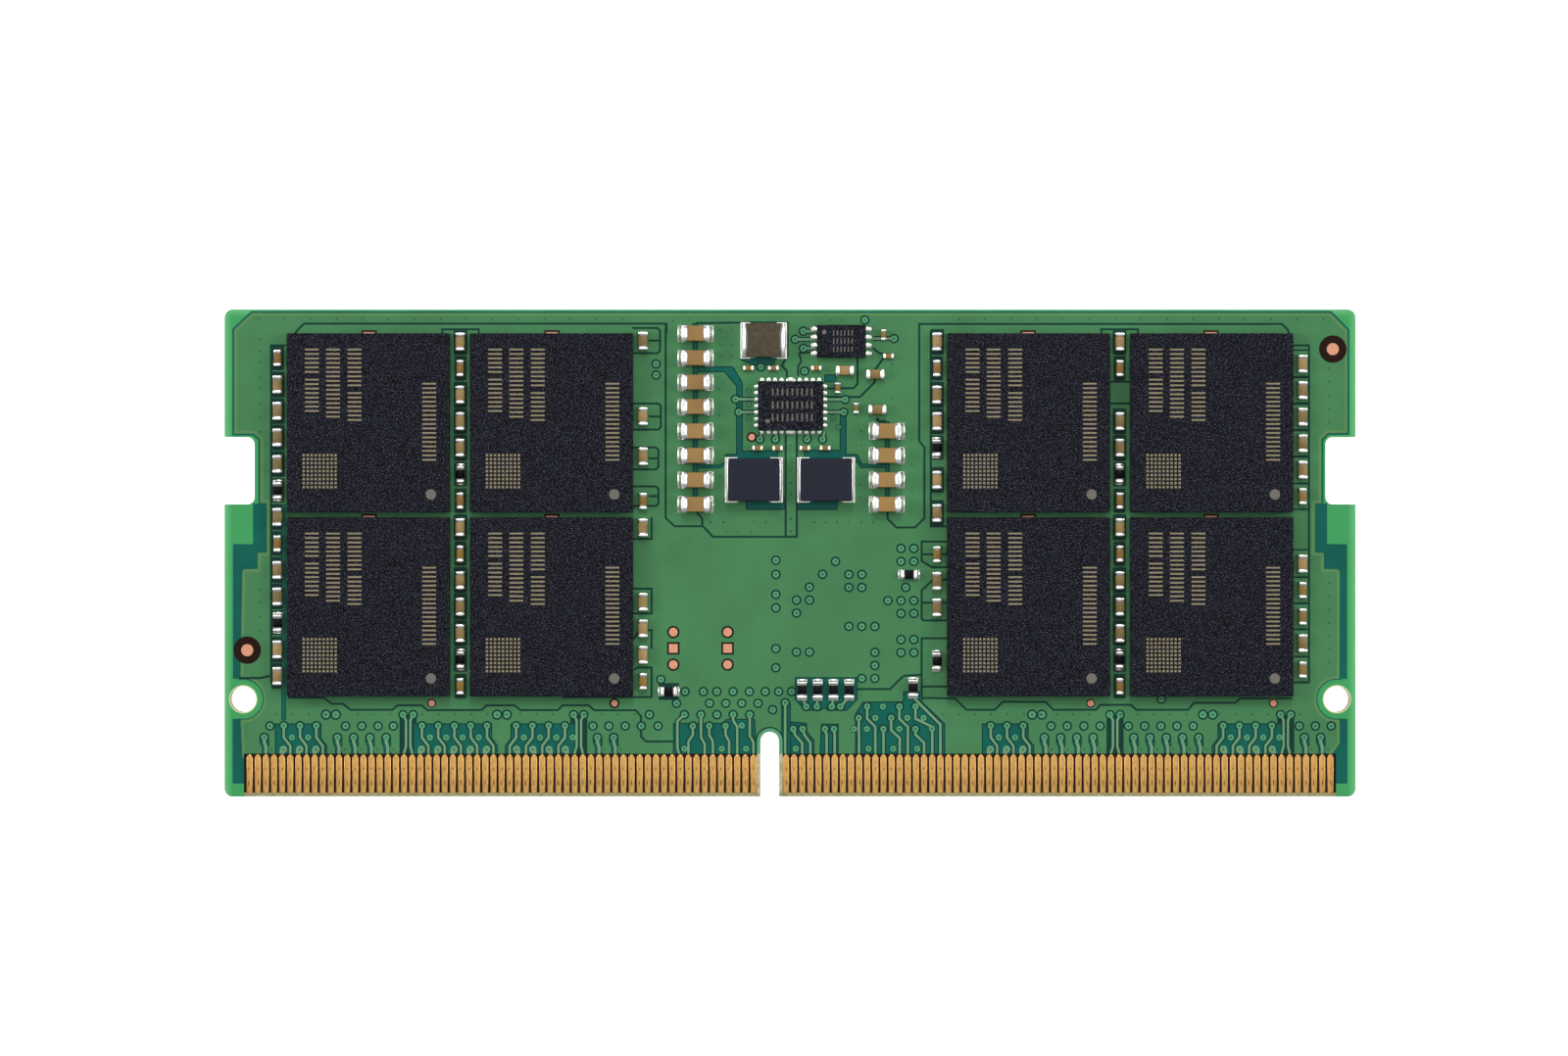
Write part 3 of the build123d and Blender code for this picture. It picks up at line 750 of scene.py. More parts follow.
def key_groups(art):
    """The irregular vias, tracks and clearings on both sides of the key."""
    foot = MASK_FOOT
    for outline in (
            [(-7.2, foot), (-2.1, foot), (-2.1, -11.3), (-2.15, -10.2), (-3.9, -10.2), (-4.2, -10.45),
             (-7.2, -10.45)],
            [(-0.55, foot), (0.05, foot), (0.05, -9.2), (-0.55, -9.2)],
            [(0.0, foot), (1.5, foot), (1.5, -11.5), (1.05, -10.95), (1.05, -10.45), (0.0, -10.35)],
            [(1.8, foot), (3.0, foot), (3.0, -10.5), (1.9, -10.5)],
            [(0.3, -9.05), (0.9, -9.72), (1.9, -9.72), (2.1, -9.55), (2.3, -9.72), (3.5, -9.72),
             (4.15, -9.05), (4.15, -7.64), (0.3, -7.64)],
            [(4.0, foot), (9.55, foot), (9.55, -10.5), (8.1, -9.1), (4.45, -9.15), (4.0, -9.9)]):
        art.clear(outline)
    art.gap([(4.1, -8.38), (6.15, -8.38), (6.95, -7.6)])
    # A via, how far down its track is straight, and the contact that it then slants to.
    for x, y, bend, slant, end in (
            (-5.98, -10.65, -11.2, 0.4, -6.25), (-4.97, -10.65, -11.2, 0.4, -4.75),
            (-3.96, -10.65, -11.2, 0.4, -3.75), (-5.48, -9.95, -11.35, 0.4, -5.25),
            (-3.5, -9.95, -10.3, 0.4, -3.25), (-2.48, -9.95, -11.25, 0.4, -2.25),
            (4.23, -10.15, -10.9, 0.5, 4.25), (4.75, -9.45, -10.2, 0.5, 5.25),
            (5.75, -10.83, -11.18, 0.5, 5.75), (6.22, -10.15, -10.9, 0.5, 6.75),
            (6.73, -9.45, -10.2, 0.5, 7.25), (7.72, -9.45, -10.2, 0.5, 8.75),
            (7.72, -10.83, -11.18, 0.5, 8.25)):
        art.via(x, y)
        art.track([(x, y), (x, bend), (end, bend - slant), (end, foot)])
    for points in ([(-6.5, -9.95), (-6.93, -10.35), (-6.93, -12.0), (-6.75, foot)],
                   [(7.55, -8.85), (8.42, -9.73), (9.25, -10.55), (9.25, foot)]):
        art.track(points)
    art.via(-0.3, -9.22)
    art.track([(-0.3, -9.22), (-0.3, -12.2), (-0.25, foot)])
    for x, end in ((0.2, 0.75), (0.77, 1.25)):
        art.via(x, -10.83)
        art.track([(x, -10.83), (x + 0.12, -11.2), (end, -11.7), (end, foot)])
    for x, end in ((2.15, 2.25), (2.7, 2.75)):
        art.via(x, -10.83)
        art.track([(x, -10.83), (end, -11.2), (end, foot)])
    for x, y, end in ((1.0, -9.45, 0.74), (1.65, -9.45, 1.7), (2.57, -9.45, 2.67), (3.1, -9.45, 3.63)):
        art.via(x, y)
        art.track([(x, y), (end, -8.9)])
    for x, y in ((-2.97, -10.62), (-6.5, -12.05), (-4.2, -12.05), (-2.7, -12.05), (5.72, -9.45),
                 (5.25, -10.15), (7.22, -10.15), (8.22, -10.15), (3.93, -10.83), (4.73, -10.83),
                 (6.73, -10.83), (8.73, -10.8), (0.35, -12.05), (4.83, -12.05), (6.35, -12.05),
                 (7.83, -12.05)):
        art.via(x, y, 0.19, 0.05)


def rear_artwork():
    """The unpopulated face: one wide pour, rows of vias and the tracks to its contacts."""
    art = Artwork()
    pour = pour_outline()
    # The thin dark band just outside the pour is painted shade along its edge.
    art.under += [(GAP, grown(pour, 0.09)), (POUR_EDGE, pour), (POUR, grown(pour, -0.22))]
    art.rings_round_holes()
    count = 8
    for first in (-31.25, -21.25, -11.25, 3.75, 13.75, 23.75):
        art.clear(rectangle(first - 0.5, MASK_FOOT, first + count - 0.4, -10.45))
        for x in first + np.arange(count):
            art.via(x, -10.65)
            art.track([(x, -10.65), (x, MASK_FOOT)])
            art.via(x + CONTACT_PITCH, -11.4, 0.19, 0.05)
    for x in np.arange(-31.0, 31.5, 1.55):
        for y in (13.9, 11.9, 10.0):
            art.dot(x, y)
        for y in (-8.2, -9.4):
            art.via(x, y)
    art.gap([(-30.5, 12.8), (-30.5, -8.9), (30.5, -8.9), (30.5, 12.8), (-30.3, 12.8)])
    return art


def mask_relief(rings, art, level, foot, step):
    """Film with its artwork as relief: the polygons of all outlines together, each triangle
    taking the kind of the last outline laid over it, raised over copper and one step lower
    elsewhere, with an upright wall wherever two levels meet and a flat underside."""
    polygons = [(RIM, rings[0])] + art.polygons() + [(-1, ring) for ring in rings[1:]]
    kinds = np.array([kind for kind, _ in polygons])
    corners = np.concatenate([polygon for _, polygon in polygons])
    starts = np.cumsum([0] + [len(polygon) for _, polygon in polygons])
    faces = []
    for (_, polygon), start in zip(polygons, starts):
        following = np.roll(polygon, -1, axis=0)
        area = (polygon[:, 0] * following[:, 1] - following[:, 0] * polygon[:, 1]).sum()
        order = range(start, start + len(polygon))
        faces.append(list(order if area > 0 else reversed(order)))
    found = delaunay_2d_cdt([Vector(p) for p in corners.tolist()], [], faces, 1, 1e-5)
    flat = np.array([tuple(v) for v in found[0]])
    triangles = np.array([tuple(face) for face in found[2]])
    owner = np.array([max(ids) if 0 in ids else -1 for ids in found[5]])
    kind = np.where(owner < 0, -1, kinds[owner])
    triangles, kind = triangles[kind >= 0], kind[kind >= 0]
    a, b, c = (flat[triangles[:, k]] for k in range(3))
    turned = np.cross(b - a, c - a) < 0
    triangles[turned] = triangles[turned][:, ::-1]

    drop = np.zeros(9)
    drop[[BARE, GAP, RIM, CREAM]] = 1.0
    drop[DIMPLE] = 0.5
    heights = level - np.sign(level - foot) * step * drop
    levels, tier = np.unique(np.round(np.append(heights[kind], foot), 5), return_inverse=True)
    tier = tier.ravel()
    foot_tier = tier[-1]
    tier = tier[:-1]
    rank = np.abs(levels - foot)
    count = len(flat)
    top = triangles + tier[:, None] * count
    under = triangles[:, ::-1] + foot_tier * count

    start, end = triangles.ravel(), np.roll(triangles, -1, axis=1).ravel()
    face = np.repeat(np.arange(len(triangles)), 3)
    key, back = start * count + end, end * count + start
    order = np.argsort(key)
    spot = np.clip(np.searchsorted(key[order], back), 0, len(key) - 1)
    twin = np.where(key[order][spot] == back, tier[face[order][spot]], foot_tier)
    wall = rank[tier[face]] > rank[twin] + 1e-9
    own, other = tier[face][wall] * count, twin[wall] * count
    start, end = start[wall], end[wall]
    sides = np.column_stack([start + other, end + other, end + own, start + own])
    wall_kind = kind[face][wall]

    points = np.concatenate([np.column_stack([flat, np.full(count, z)]) for z in levels])
    groups = [np.concatenate([top, under]), sides]
    used, packed = np.unique(np.concatenate([g.ravel() for g in groups]), return_inverse=True)
    split = groups[0].size
    packed = packed.ravel()
    groups = [packed[:split].reshape(-1, 3), packed[split:].reshape(-1, 4)]
    if level < foot:
        groups = [g[:, ::-1] for g in groups]
    return (points[used], groups), np.concatenate([kind, kind, wall_kind])


def mask_materials():
    """Liquid photo-imaged solder mask, a thin clear green coat. Its colour is that of what
    lies under it, so there is one material for each: it gives the eye a soft gloss."""
    tones = palette()
    pour = tuple(tones.pour)
    made = []
    # Name, colour, how dark its slow noise goes, roughness; in the order of the kinds.
    for name, tone, fleck, roughness in (
            ("pour", pour, 0.86, 0.36), ("pour_edge", tones.pour_edge, 0.9, 0.36),
            ("track", tones.track, 0.88, 0.33), ("bare", tones.bare, 0.8, 0.3),
            ("gap", tones.gap, 0.8, 0.3), ("rim", tones.rim, 0.93, 0.34),
            ("dimple", shade(pour, 0.62), 0.5, 0.4), ("hole_rim", linear("C9C6A0"), 0.9, 0.5),
            ("pad", tones.pad, 0.88, 0.33)):
        base = tuple(tone)
        made.append(finish(f"solder_mask_{name}", base, shade(base, fleck), 2.6, roughness,
                           flecks=(0.35, 0.7), Specular_IOR_Level=0.12))
    # Clear laminate lets light through its cut edge, so it is palest there, and that glow is
    # painted light: a paler tint laid on nearer the edge. The material is shared by both
    # faces, and gets this once.
    tree = made[RIM].node_tree
    if "Painted edge glow" not in tree.nodes:
        x, y, _ = axes(tree)
        side_gap = maths(tree, "SUBTRACT", half_length * MM, maths(tree, "ABSOLUTE", x))
        top_gap = maths(tree, "SUBTRACT", half_height * MM, y)
        lit = add(tree, "ShaderNodeMapRange",
                  {"Value": maths(tree, "MINIMUM", side_gap, top_gap), "From Min": 0.0,
                   "From Max": 0.55 * MM, "To Min": 0.4, "To Max": 0.0},
                  interpolation_type="SMOOTHSTEP", name="Painted edge glow")
        tint(made[RIM], lit.outputs[0], linear("74BE82"))
    return made


def laminate():
    """Woven glass and epoxy: buff and translucent where it is cut, in thin layers, and
    a dark reddish brown between the plated contacts, partly its own stain and partly
    painted shade."""
    made = finish("glass_epoxy_laminate", linear("A9A483"), linear("8C8660"), 0.35, 0.6, 0.004,
                  Specular_IOR_Level=0.1)
    tree = made.node_tree
    x, y, z = axes(tree)
    layer = 0.13
    wave = maths(tree, "SINE", maths(tree, "MULTIPLY", z, 2 * pi / (layer * MM)))
    line = add(tree, "ShaderNodeMapRange", {"Value": wave, "From Min": 0.2, "From Max": 1.0, "To Max": 0.5})
    tint(made, line.outputs[0], linear("7C8458"))
    # The brown stain and painted shade keep off the bevel at the foot of the contacts and off the key's
    # walls.
    foot = box_mm("front_contacts")[0][1]
    flat_top = maths(tree, "GREATER_THAN", z, (laminate_top - 0.02) * MM)
    inner = maths(tree, "GREATER_THAN", y, (foot + 0.04) * MM)
    from_key = maths(tree, "ABSOLUTE", maths(tree, "SUBTRACT", x, KEY_X * MM))
    away = maths(tree, "GREATER_THAN", from_key, 0.8 * MM)
    stain_and_shade = maths(tree, "MULTIPLY", maths(tree, "MULTIPLY", flat_top, inner), away)
    tint(made, stain_and_shade, linear("1C0904"))
    return made


def gold():
    """Hard gold over nickel and copper: warm satin metal, with the small dark marks of test
    probes. The marks repeat with the contacts, and a slow noise sways them sideways."""
    tone = tuple(palette().gold)
    made = finish("hard_gold_plating", tone, shade(tone, 0.82), 0.25, 0.3, 0.003, Metallic=1.0)
    tree = made.node_tree
    low, high = islands("front_contacts")
    first = (low[0, 0] + high[0, 0]) / 2
    x, y, _ = axes(tree)
    half_pitch = CONTACT_PITCH / 2
    from_first = maths(tree, "SUBTRACT", x, (first - half_pitch) * MM)
    cell = maths(tree, "FLOORED_MODULO", from_first, CONTACT_PITCH * MM)
    middle = maths(tree, "SUBTRACT", cell, half_pitch * MM)
    place = add(tree, "ShaderNodeTexCoord").outputs["Object"]
    wobble = add(tree, "ShaderNodeTexNoise", {"Vector": place, "Scale": 1 / (0.7 * MM)})
    sway = maths(tree, "SUBTRACT", wobble.outputs["Fac"], 0.5)
    drift = maths(tree, "MULTIPLY_ADD", sway, 0.25 * MM, middle)
    # A long mark low on each contact and a dot above it.
    for mark_y, half_width, half_rise, strength, mark_tone in ((-14.15, 0.034, 0.22, 0.96, "4A2808"),
                                                               (-13.28, 0.035, 0.1, 0.96, "6A4214")):
        aside = maths(tree, "MULTIPLY", drift, 1 / (half_width * MM))
        rise = maths(tree, "MULTIPLY", maths(tree, "SUBTRACT", y, mark_y * MM), 1 / (half_rise * MM))
        offset = add(tree, "ShaderNodeCombineXYZ", {0: aside, 1: rise}).outputs[0]
        away = add(tree, "ShaderNodeVectorMath", {0: offset}, operation="LENGTH").outputs["Value"]
        spot = add(tree, "ShaderNodeMapRange",
                   {"Value": away, "From Min": 1.2, "From Max": 0.5, "To Max": strength},
                   interpolation_type="SMOOTHSTEP")
        tint(made, spot.outputs[0], linear(mark_tone))
    return made


# ---- chip parts ----
def end_block(span, width, height, reach, bow, rounding):
    """Metal end of a chip part that points along +X from the origin: a closed profile of
    rounded corners carried across the width. It reaches over the top by this much, its
    inner side bows like a parabola, and its first and last stations draw in a little."""
    end = span / 2
    side = 1.0 - 2 * rounding / width
    stations = []
    for across in (-1.0, -side, -0.4, 0.4, side, 1.0):
        inset = rounding if abs(across) == 1.0 else 0.0
        y = across * width / 2
        inner = end - reach - bow * (1 - across ** 2)
        outer, top, r = end - inset, height - inset, rounding
        stations.append([(inner, y, inset), (outer - r, y, inset), (outer, y, inset + r),
                         (outer, y, top - r), (outer - 0.3 * r, y, top - 0.3 * r), (outer - r, y, top),
                         (inner, y, top)])
    return loft(np.array(stations))


def fillet(end, width, toe, climb, foot=0.0):
    """Solder that wets an end face: across the width, a hollow curve from its climb on the
    face down to its toe on the land, lower and shorter towards both sides."""
    back = end - 0.04
    stations = []
    for across in (-1.0, -0.82, -0.3, 0.3, 0.82, 1.0):
        share = 1.0 - 0.55 * across ** 4
        t, h, y = toe * share, climb * share, across * width / 2
        stations.append([(back, y, foot), (end + t, y, foot), (end + 0.55 * t, y, foot + 0.22 * h),
                         (end + 0.22 * t, y, foot + 0.55 * h), (end, y, foot + h), (back, y, foot + h)])
    return loft(np.array(stations))


def chips(node, skin):
    """Chip parts of a node, grouped by size: size, places of their middles at the seat, and
    turns. The ceramic lies a skin's thickness inside the finished part."""
    low, high = islands(node)
    span = high - low
    turned = span[:, 1] > span[:, 0]
    size = np.where(turned[:, None], span[:, [1, 0, 2]], span) + 2 * skin
    places = np.column_stack([(low[:, :2] + high[:, :2]) / 2, low[:, 2] - skin])
    turns = np.where(turned, pi / 2, 0.0)
    kinds, group = np.unique(np.round(size, 2), axis=0, return_inverse=True)
    members = [group.ravel() == n for n in range(len(kinds))]
    return [(size, places[chosen], turns[chosen]) for size, chosen in zip(kinds, members)]


def both_ways(shape, places, turns):
    """A shape at both ends of each part."""
    return join(spread(shape, places, turns), spread(shape, places, turns + pi))


# Solder of every part, kept here until MODULE_OT_solder makes it one piece.
solder_shapes = []


def solder_chip_ends(size, places, turns, toe, climb_share, overhang):
    """Fillets against both ends of each part. With an overhang, wetted lands show under
    them too, this much wider than the part on each side."""
    span, width, height = size
    seat = front_top - places[0, 2]
    wetted = fillet(span / 2, width + 0.04, toe, climb_share * height - seat, seat)
    solder_shapes.append(both_ways(wetted, places, turns))
    if overhang:
        reach = toe + 0.2 * span
        edge = 0.012
        land = blocks([(span / 2 + toe - reach / 2 + 0.03, 0, seat + edge)],
                      (reach, width + 2 * overhang, 3 * edge), edge)
        solder_shapes.append(both_ways(land, places, turns))


class PieceOperator:
    """What every operator here shares."""
    bl_options = {"REGISTER", "UNDO"}


class MODULE_OT_stage(PieceOperator, bpy.types.Operator):
    """Make the pale floor, the soft studio lights and the camera"""
    bl_idname = "module.stage"
    bl_label = "Stage"

    def execute(self, context):
        scene = context.scene
        white = (1.0, 1.0, 1.0, 1.0)
        scene.view_settings.view_transform = "Standard"
        floor_mesh = bpy.data.meshes.new("studio_floor")
        reach, level = 1.6, -0.02 * MM
        corners = [(x, y, level) for x, y in rectangle(-reach, -reach, reach, reach).tolist()]
        floor_mesh.from_pydata(corners, [], [(0, 1, 2, 3)])
        tone = tuple(palette().floor)
        # Painted studio floor: flat, matt and almost white.
        floor_mesh.materials.append(finish("matt_white_paint", tone, shade(tone, 0.99), 9.0, 0.9,
                                           Specular_IOR_Level=0.1, Emission_Color=white,
                                           Emission_Strength=0.8))
        floor = bpy.data.objects.new("studio_floor", floor_mesh)
        scene.collection.objects.link(floor)

        world = bpy.data.worlds.new("studio_light")
        world.use_nodes = True
        background = world.node_tree.nodes["Background"]
        background.inputs["Color"].default_value = white
        background.inputs["Strength"].default_value = 0.35
        scene.world = world
        # Name, place in metres, width in metres, power in watts.
        for name, place, size, power in (("key_softbox", (0.0, 0.42, 0.6), 0.25, 2.2),
                                         ("left_softbox", (-0.6, 0.1, 0.45), 0.35, 2.7),
                                         ("right_softbox", (0.6, 0.1, 0.45), 0.35, 2.7),
                                         ("overhead_softbox", (0.0, 0.0, 1.1), 0.9, 1.6)):
            light = bpy.data.lights.new(name, "AREA")
            light.shape = "DISK"
            light.size = size
            light.energy = power
            lamp = bpy.data.objects.new(name, light)
            lamp.location = place
            lamp.rotation_euler = (-Vector(place)).to_track_quat("-Z", "Y").to_euler()
            scene.collection.objects.link(lamp)

        camera_data = bpy.data.cameras.new("camera")
        camera_data.lens = sizes().camera_lens
        camera_data.sensor_width = 36.0
        camera_data.clip_start = 0.01
        camera = bpy.data.objects.new("camera", camera_data)
        # It stands a little off the board's middle, which puts the board a little off centre.
        camera.location = (-0.37 * MM, 1.54 * MM, front_top * MM + sizes().camera_distance)
        scene.collection.objects.link(camera)
        scene.camera = camera
        return {"FINISHED"}


class MODULE_OT_board(PieceOperator, bpy.types.Operator):
    """Finish the laminate, the bare copper marks and the rear label"""
    bl_idname = "module.board"
    bl_label = "Board and marks"

    def execute(self, context):
        copper = tuple(palette().copper)
        # Electroless-coated bare copper: soft pinkish metal, slightly uneven.
        bare_copper = finish("bare_copper_pad", copper, shade(copper, 0.85), 0.15, 0.5, 0.004, Metallic=0.3)
        # Coated label paper: smooth, white, faintly fibrous.
        paper = finish("label_paper_coated", linear("F1F0EA"), linear("E2E0D6"), 0.6, 0.6, 0.003)
        # Thin green build-up laminate of a ball-grid package.
        carrier = finish("package_carrier_laminate", linear("2F4A33"), linear("22372A"), 0.3, 0.5)
        # Polished silicon, inside the moulds.
        silicon = finish("silicon_die", linear("4A4C55"), linear("3B3D46"), 0.4, 0.25, Metallic=0.6)
        # Enamelled copper strip of the inductor coils, inside the cores.
        coil = finish("coil_copper_strip", linear("C67A4A"), linear("A86238"), 0.3, 0.35, Metallic=1.0)
        chosen = {"circuit_board": laminate(), "fiducial_marks": bare_copper, "test_pads": bare_copper,
                  "rear_label": paper, "memory_dies": silicon}
        for node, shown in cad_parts.items():
            made = chosen.get(node)
            if node.endswith("_substrate"):
                made = carrier
            elif node.endswith(("_balls", "_lands", "solder_joints", "_terminals")):
                made = tin()
            elif node.endswith("_die"):
                made = silicon
            elif node.endswith("_coil"):
                made = coil
            if made:
                shown.data.materials.clear()
                shown.data.materials.append(made)
        return {"FINISHED"}


class MODULE_OT_masks(PieceOperator, bpy.types.Operator):
    """Build both solder masks with their copper artwork as relief"""
    bl_idname = "module.masks"
    bl_label = "Solder masks"

    def execute(self, context):
        for side, level, foot, art in (("front", front_top, laminate_top, front_artwork()),
                                       ("rear", rear_low, board_low[2], rear_artwork())):
            node = f"{side}_solder_mask"
            rings = flat_rings(node, level)
            if not rings:
                raise RuntimeError(f"{node} has no flat face to draw on")
            # A line shows round each small bare pad, dark but for the row below the packages.
            art.gaps += [(PAD if ring[0, 1] < -9.0 else GAP, grown(ring, 0.03)) for ring in rings[1:]
                         if abs(ring[0, 0]) < 32.0]
            shape, kinds = mask_relief(rings, art, level, foot, sizes().mask_step / MM)
            piece(f"{side}_mask_relief", shape, mask_materials(), (node,), kinds,
                  smooth=False)
        return {"FINISHED"}


class MODULE_OT_contacts(PieceOperator, bpy.types.Operator):
    """Build the plated contacts of both faces with rounded edges and narrowed tips"""
    bl_idname = "module.contacts"
    bl_label = "Contacts"

    def execute(self, context):
        plating = gold()
        crown = sizes().finger_crown / MM
        for node, side in (("front_contacts", 1), ("rear_contacts", -1)):
            low, high = islands(node)
            width, _, thickness = high[0] - low[0]
            bottom, top = low[0, 1], high[0, 1]
            stations = []
            # Along the contact: where each profile stands, and its share of the full width.
            for y, share in ((bottom, 0.9), (bottom + 0.03, 1.0), (top - 0.2, 1.0), (top - 0.06, 0.6),
                             (top, 0.38)):
                half = width * share / 2
                right = [(half, 0.0), (half, 0.5), (half - 0.3 * crown, 0.82), (half - crown, 1.0)]
                outline = right + [(-x, z) for x, z in reversed(right)]
                stations.append([(x, y, side * z * thickness) for x, z in outline])
            middles = (low[:, 0] + high[:, 0]) / 2
            seat = low[0, 2] if side > 0 else high[0, 2]
            places = np.column_stack([middles, np.zeros(len(middles)), np.full(len(middles), seat)])
            piece(f"{node}_plating", spread(loft(np.array(stations)), places), [plating],
                  (node,))
        return {"FINISHED"}


def package_marks(x, y, top):
    """Plain marks of one memory package, none of them lettering: rows of short strokes and
    an even field of dots."""
    height = 2 * sizes().mark_height / MM
    centres, spans = [], []
    # Rows run down the package: place across, start, number of strokes, where a gap comes.
    for line_x, start, strokes, gap in ((-3.45, 4.5, 14, 6), (-2.15, 4.5, 16, 16), (-0.83, 4.5, 16, 9),
                                        (3.75, 2.4, 18, 18)):
        for n in range(strokes):
            centres.append((x + line_x, y + start - 0.275 * n - (0.2 if n >= gap else 0.0), top))
            spans.append((0.85, 0.1, height))
    for i in range(9):
        for j in range(9):
            centres.append((x - 3.95 + 0.245 * i, y - 3.95 + 0.245 * j, top))
            spans.append((0.14, 0.14, height))
    return centres, spans


class MODULE_OT_memory(PieceOperator, bpy.types.Operator):
    """Build the eight memory packages and their plain marks"""
    bl_idname = "module.memory"
    bl_label = "Memory packages"

    def execute(self, context):
        centres, spans, dots = [], [], []
        for number in range(1, 9):
            node = f"memory_{number}_mould"
            low, high = box_mm(node)
            middle = (low + high) / 2
            shape = blocks([middle], high - low, sizes().mould_rounding / MM)
            piece(f"memory_{number}_package", shape, [mould()], (node,))
            more, more_spans = package_marks(middle[0], middle[1], high[2])
            centres += more
            spans += more_spans
            dots.append((middle[0] + 3.86, middle[1] - 4.4, high[2] - sizes().mark_height / MM))
        strokes = blocks(centres, spans, 0.002)
        piece("memory_package_marks", strokes, [marking()], smooth=False)
        corner_dots = discs(dots, 0.32, 2 * sizes().mark_height / MM)
        piece("memory_corner_dots", corner_dots, [faint_marking()], smooth=False)
        return {"FINISHED"}


class MODULE_OT_leadless(PieceOperator, bpy.types.Operator):
    """Build the power manager and the interface hub with their solder toes"""
    bl_idname = "module.leadless"
    bl_label = "Leadless packages"

    def execute(self, context):
        height = 2 * sizes().mark_height / MM
        # Name, reach of the solder, places of the mark lines, strokes in a line, first-pin dot.
        for name, toe, lines, strokes, dot in (
                ("power_manager", 0.24, (0.85, 0.05, -0.72), 9, (-1.42, -0.95)),
                ("interface_hub", 0.36, (0.5, 0.0, -0.5), 6, (-1.05, 0.55))):
            low, high = box_mm(f"{name}_mould")
            middle, side = (low + high) / 2, (high - low)[:2] / 2
            piece(f"{name}_package", blocks([middle], high - low, 0.04), [mould()],
                  (f"{name}_mould",))
            # Strokes keep their share of the package's length.
            pitch, stroke = 0.15 * side[0], (0.045 * side[0], 0.22 * side[0], height)
            start = middle[0] + 0.1 - (strokes - 1) / 2 * pitch
            marks = blocks([(start + n * pitch, middle[1] + line, high[2])
                            for line in lines for n in range(strokes)], stroke, 0.002)
            spot = discs([(middle[0] + dot[0], middle[1] + dot[1], high[2] - height / 2)], 0.14, height, 16)
            piece(f"{name}_marks", join(marks, spot), [faint_marking()], smooth=False)
            land_low, land_high = islands(f"{name}_lands")
            land_span = land_high - land_low
            # The wide pad under the middle has no toe that shows.
            outer = land_span[:, :2].max(axis=1) < 1.0
            centre = (land_low + land_high)[:, :2] / 2 - middle[:2]
            reach = centre / side
            upright = np.abs(reach[:, 1]) > np.abs(reach[:, 0])
            signs = np.sign(reach)
            turns = np.where(upright, signs[:, 1] * pi / 2, np.where(reach[:, 0] > 0, 0.0, pi))
            widths = np.where(upright, land_span[:, 0], land_span[:, 1])
            x = np.where(upright, centre[:, 0], signs[:, 0] * side[0]) + middle[0]
            y = np.where(upright, signs[:, 1] * side[1], centre[:, 1]) + middle[1]
            for width in np.unique(np.round(widths[outer], 2)):
                chosen = outer & (np.abs(widths - width) < 0.02)
                places = np.column_stack([x, y, np.full(len(x), front_top)])[chosen]
                climb = fillet(0.0, width + 0.03, 0.6 * toe, 0.17)
                land = blocks([(toe / 2 - 0.05, 0, 0.02)], (toe + 0.1, width + 0.03, 0.05), 0.02)
                solder_shapes.append(spread(join(climb, land), places, turns[chosen]))
        return {"FINISHED"}


class MODULE_OT_inductors(PieceOperator, bpy.types.Operator):
    """Build the moulded inductors and their metal ends"""
    bl_idname = "module.inductors"
    bl_label = "Inductors"

    def execute(self, context):
        # Pressed iron-powder composite: dark blue-grey, matt, very fine grain.
        powder = finish("iron_powder_composite", linear("1B1D29"), linear("232532"), 0.12, 0.55, 0.004,
                        Specular_IOR_Level=0.1)
        # Sintered ferrite: brown-grey and smooth, with a faint texture.
        ferrite = finish("sintered_ferrite", linear("4A4334"), linear("3C3528"), 0.2, 0.5, 0.003,
                         Specular_IOR_Level=0.1)
        # Name, core, height of the ends over that of the core, how far they reach over it, bow.
        for name, body, top_share, reach, bow in (("power_inductor_left", powder, 0.9, 0.1, 0.0),
                                                  ("power_inductor_right", powder, 0.9, 0.1, 0.0),
                                                  ("input_inductor", ferrite, 1.02, 0.2, 0.12)):
            low, high = box_mm(f"{name}_core")
            end_low, end_high = box_mm(f"{name}_terminals")
            middle, unturned = (low + high) / 2, np.zeros(1)
            core = blocks([middle], high - low - (0.0, 0.02, 0.0), 0.07)
            piece(f"{name}_body", core, [body], (f"{name}_core",))
            seat = end_low[2]
            span, width = (end_high - end_low)[:2]
            height = high[2] - seat
            place = np.array([(middle[0], middle[1], seat)])
            ends = end_block(span, width, top_share * height, reach, bow, 0.035)
            foot = blocks([(span / 2 - 0.4, 0, 0.04)], (0.8, width + 0.02, 0.08), 0.02)
            piece(f"{name}_ends", both_ways(join(ends, foot), place, unturned), [tin()],
                  (f"{name}_terminals",))
            solder_chip_ends((span, width, height), place, unturned, 0.1, 0.5, 0.07)
        return {"FINISHED"}


